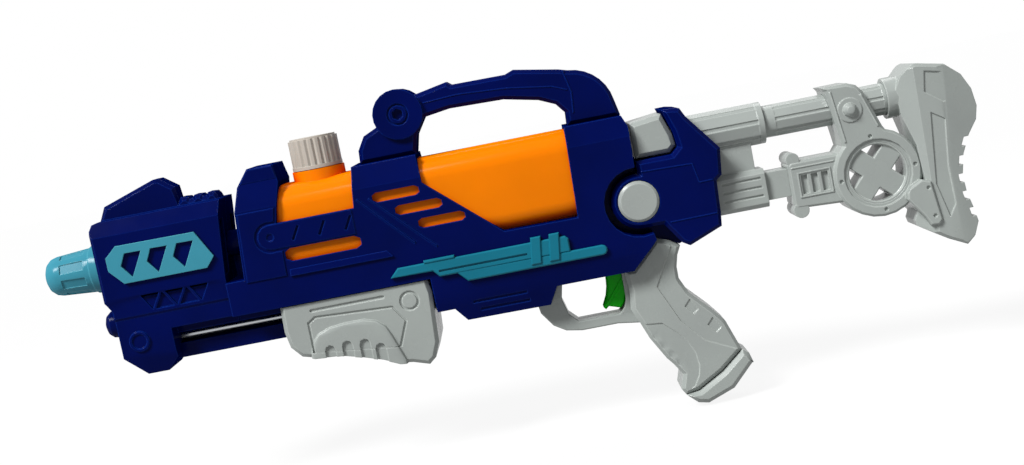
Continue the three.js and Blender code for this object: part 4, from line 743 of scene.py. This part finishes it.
def add_stock_trim():
    rims = [ridge(*rim, *CLAMP_RIM_SIZE) for rim in CLAMP_RIMS]
    slider = [ridge(*SLIDER_RAIL, *SLIDER_RAIL_SIZE), slot_frame(flat(SLOT_FRAME), *SLOT_FRAME_SIZE)]
    shells = both_sides(CLAMP_HALF, rims) + both_sides(SLIDER_HALF, slider)
    add_piece("stock_trim", shells, "casing", grey)


def cross_block():
    turn = Matrix.Rotation(math.radians(CROSS_TURN), 3, "Z")
    outline = [turn @ point for point in plus_sign(CROSS_REACH, CROSS_ARM)]
    edge = inset(outline, CROSS_CHAMFER)
    side = CROSS_HALF - CROSS_CHAMFER
    return closed_shell([(edge, -CROSS_HALF), (outline, -side), (outline, side), (edge, CROSS_HALF)])


def cross_rim():
    half = [
        (RIM_RADIUS, RIM_HALF),
        (RIM_BORE + CROSS_CHAMFER, RIM_HALF),
        (RIM_BORE, RIM_HALF - CROSS_CHAMFER),
    ]
    section = [(radius, -height) for radius, height in half] + half[::-1]
    return hollow_shell([(circle(radius, RIM_STEPS), height) for radius, height in section])


def add_ring_cross():
    """The cross in the ring with its full depth and rim."""
    place = Matrix.Translation(RING_CENTRE) @ on_side(-1, 0)
    shells = [(cross_block(), place), (cross_rim(), place)]
    cross = add_piece("deep_ring_cross", shells, "casing", grey)
    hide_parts("ring_cross")


# Screws, thread and springs


def turned_rings(radius, profile):
    """Rings for each (added radius, height) of a screw or its collar."""
    return [(circle(radius + added, SCREW_STEPS), height) for added, height in profile]


def screw_head():
    """A low domed head with a cross recess, seated just under the surface."""
    shell = Shell()
    base, crown = shell.rings(turned_rings(SCREW_RADIUS, SCREW_PROFILE))
    recess = plus_sign(RECESS_REACH, RECESS_HALF)
    mouth = shell.loop(recess, SCREW_CROWN)
    floor = shell.loop([point * RECESS_TAPER for point in recess], RECESS_FLOOR)
    shell.cap(crown, mouth)
    shell.band(floor, mouth)
    shell.cap(floor)
    shell.cap(base)
    return shell


def screw_collar():
    """The moulded collar that a screw head sits in."""
    outside = turned_rings(COLLAR_RADIUS, COLLAR_OUTSIDE)
    return hollow_shell(outside + turned_rings(SCREW_RADIUS, COLLAR_INSIDE))


def add_screws(name, body, places, collar_slot):
    """Screws in collars on the far side, each turned a little further than the last."""
    outwards = Matrix.Rotation(-math.pi / 2, 4, "X")
    seats = [Matrix.Translation(place) @ outwards for place in places]
    heads = [(screw_head(), seat @ Matrix.Rotation(SCREW_TURN * i, 4, "Z")) for i, seat in enumerate(seats)]
    collars = [(screw_collar(), seat) for seat in seats]
    add_piece(name + "_screws", heads, body, steel)
    add_piece(name + "_screw_collars", collars, body, LOOKS[collar_slot])


def thread_start(offset):
    """One start of the thread on the spout, as a low ridge that fades at both ends."""
    shell = Shell()
    rows = []
    for i in range(THREAD_STEPS + 1):
        share = i / THREAD_STEPS
        turn = offset + 2 * math.pi * share * THREAD_RISE / THREAD_LEAD
        crest = THREAD_HEIGHT * min(1.0, THREAD_FADE * share, THREAD_FADE * (1 - share))
        middle = SPOUT_FOOT + THREAD_RISE * share
        half = [(-THREAD_SEAT, THREAD_FOOT), (crest, THREAD_CREST)]
        section = [(out, -up) for out, up in half] + half[::-1]
        first = len(shell.points)
        for out, up in section:
            radius = SPOUT_RADIUS + out
            shell.points.append(Vector((radius * math.cos(turn), radius * math.sin(turn), middle + up)))
        rows.append(list(range(first, len(shell.points))))
    for low, high in zip(rows, rows[1:]):
        shell.band(low, high)
    shell.faces += [tuple(rows[0]), tuple(reversed(rows[-1]))]
    return shell


def add_thread():
    place = Matrix.Translation((NECK_X, 0, 0))
    starts = [thread_start(2 * math.pi * i / THREAD_STARTS) for i in range(THREAD_STARTS)]
    add_piece("spout_thread", [(start, place) for start in starts], "casing", orange)


def add_spring(name):
    """A copy of the coil, held by the casing in place of its node."""
    coil = bpy.data.objects.new(name + "_coil", frame["nodes"][name].data.copy())
    bpy.context.scene.collection.objects.link(coil)
    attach(coil, "casing")
    soften(coil, ROUND)
    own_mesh(coil)
    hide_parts(name)


add_body_trim()
add_trigger_cheeks()
add_pump_trim()
add_stock_trim()
add_ring_cross()
add_screws("casing", "casing", CASING_SCREWS, "navy")
add_screws("handle", "casing", HANDLE_SCREWS, "grey")
add_screws("pump", "pump", PUMP_SCREWS, "grey")
add_thread()
for name, joint, axis, fixed, travel in SPRINGS:
    add_spring(name)


# Studio


def seen_directly(nodes, links):
    """1 for camera rays, less for mirror and see-through rays, 0 for rays that only carry light."""
    path = nodes.new("ShaderNodeLightPath")
    seen = path.outputs["Is Camera Ray"]
    for ray in ("Is Glossy Ray", "Is Transmission Ray"):
        either = nodes.new("ShaderNodeMath")
        either.operation = "MULTIPLY_ADD"
        either.use_clamp = True
        either.inputs[1].default_value = MIRRORED_SHARE
        links.new(path.outputs[ray], either.inputs[0])
        links.new(seen, either.inputs[2])
        seen = either.outputs["Value"]
    return seen


def white_ground(name):
    """White floor that shows as an even ground and keeps the shadow."""
    material, nodes, links, shader = new_material(name)
    shader.inputs["Base Color"].default_value = linear(GROUND_BOUNCE)
    shader.inputs["Roughness"].default_value = GROUND_ROUGHNESS
    shader.inputs["Specular IOR Level"].default_value = 0.0
    glow = nodes.new("ShaderNodeEmission")
    glow.inputs["Strength"].default_value = GROUND_GLOW
    share = nodes.new("ShaderNodeMath")
    share.operation = "MULTIPLY"
    share.inputs[1].default_value = GROUND_SHARE
    mix = nodes.new("ShaderNodeMixShader")
    links.new(seen_directly(nodes, links), share.inputs[0])
    links.new(share.outputs["Value"], mix.inputs["Fac"])
    links.new(shader.outputs["BSDF"], mix.inputs[1])
    links.new(glow.outputs["Emission"], mix.inputs[2])
    links.new(mix.outputs["Shader"], nodes["Material Output"].inputs["Surface"])
    return material


def build_stage():
    mesh = bpy.data.meshes.new("floor")
    signs = ((-1, -1), (1, -1), (1, 1), (-1, 1))
    corners = [(x * FLOOR_REACH, y * FLOOR_REACH, 0) for x, y in signs]
    mesh.from_pydata(corners, [], [(0, 1, 2, 3)])
    floor = bpy.data.objects.new("floor", mesh)
    floor.location.z = cad_box[0][2] - FLOOR_GAP * MM
    bpy.context.scene.collection.objects.link(floor)
    mesh.materials.append(white_ground("white_ground"))


def build_world():
    """White all round where it is seen, and a weak white sky as light."""
    world = bpy.data.worlds.new("studio")
    bpy.context.scene.world = world
    world.use_nodes = True
    nodes, links = world.node_tree.nodes, world.node_tree.links
    background = nodes["Background"]
    background.inputs["Color"].default_value = (1, 1, 1, 1)
    strength = add_fade(nodes, links, seen_directly(nodes, links), (0.0, 1.0), (SKY_STRENGTH, 1.0))
    links.new(strength, background.inputs["Strength"])


def add_sun():
    """Wide soft light from above and in front, even over the whole floor."""
    data = bpy.data.lights.new("soft_sun", "SUN")
    data.energy = SUN_STRENGTH
    data.angle = math.radians(SUN_SPREAD)
    lamp = bpy.data.objects.new("soft_sun", data)
    lamp.rotation_euler = Vector(SUN_TOWARDS).to_track_quat("Z", "Y").to_euler()
    bpy.context.scene.collection.objects.link(lamp)


def add_lamp(name, place, size, power):
    data = bpy.data.lights.new(name, "AREA")
    data.shape = "RECTANGLE"
    data.size, data.size_y = size
    data.energy = power
    lamp = bpy.data.objects.new(name, data)
    lamp.location = at(*place)
    lamp.rotation_euler = (at(*LAMP_AIM) - lamp.location).to_track_quat("-Z", "Y").to_euler()
    bpy.context.scene.collection.objects.link(lamp)


def build_camera():
    azimuth, elevation = math.radians(CAMERA_AZIMUTH), math.radians(CAMERA_ELEVATION)
    across = math.cos(elevation)
    towards = Vector((math.sin(azimuth) * across, -math.cos(azimuth) * across, math.sin(elevation)))
    data = bpy.data.cameras.new("photo_camera")
    data.sensor_fit = "HORIZONTAL"
    data.sensor_width = SENSOR_WIDTH
    data.lens = SENSOR_WIDTH * FOCAL_PIXELS / IMAGE_WIDTH
    camera = bpy.data.objects.new("photo_camera", data)
    camera.location = at(*CAMERA_TARGET) + towards * CAMERA_DISTANCE * MM
    level = (-towards).to_track_quat("-Z", "Y")
    roll = Euler((0, 0, -math.radians(CAMERA_ROLL))).to_quaternion()
    camera.rotation_euler = (level @ roll).to_euler()
    bpy.context.scene.collection.objects.link(camera)
    bpy.context.scene.camera = camera


build_stage()
build_world()
add_sun()
for name, place, size, power in LAMPS:
    add_lamp(name, place, size, power)
build_camera()
bpy.context.scene.view_settings.view_transform = "Standard"
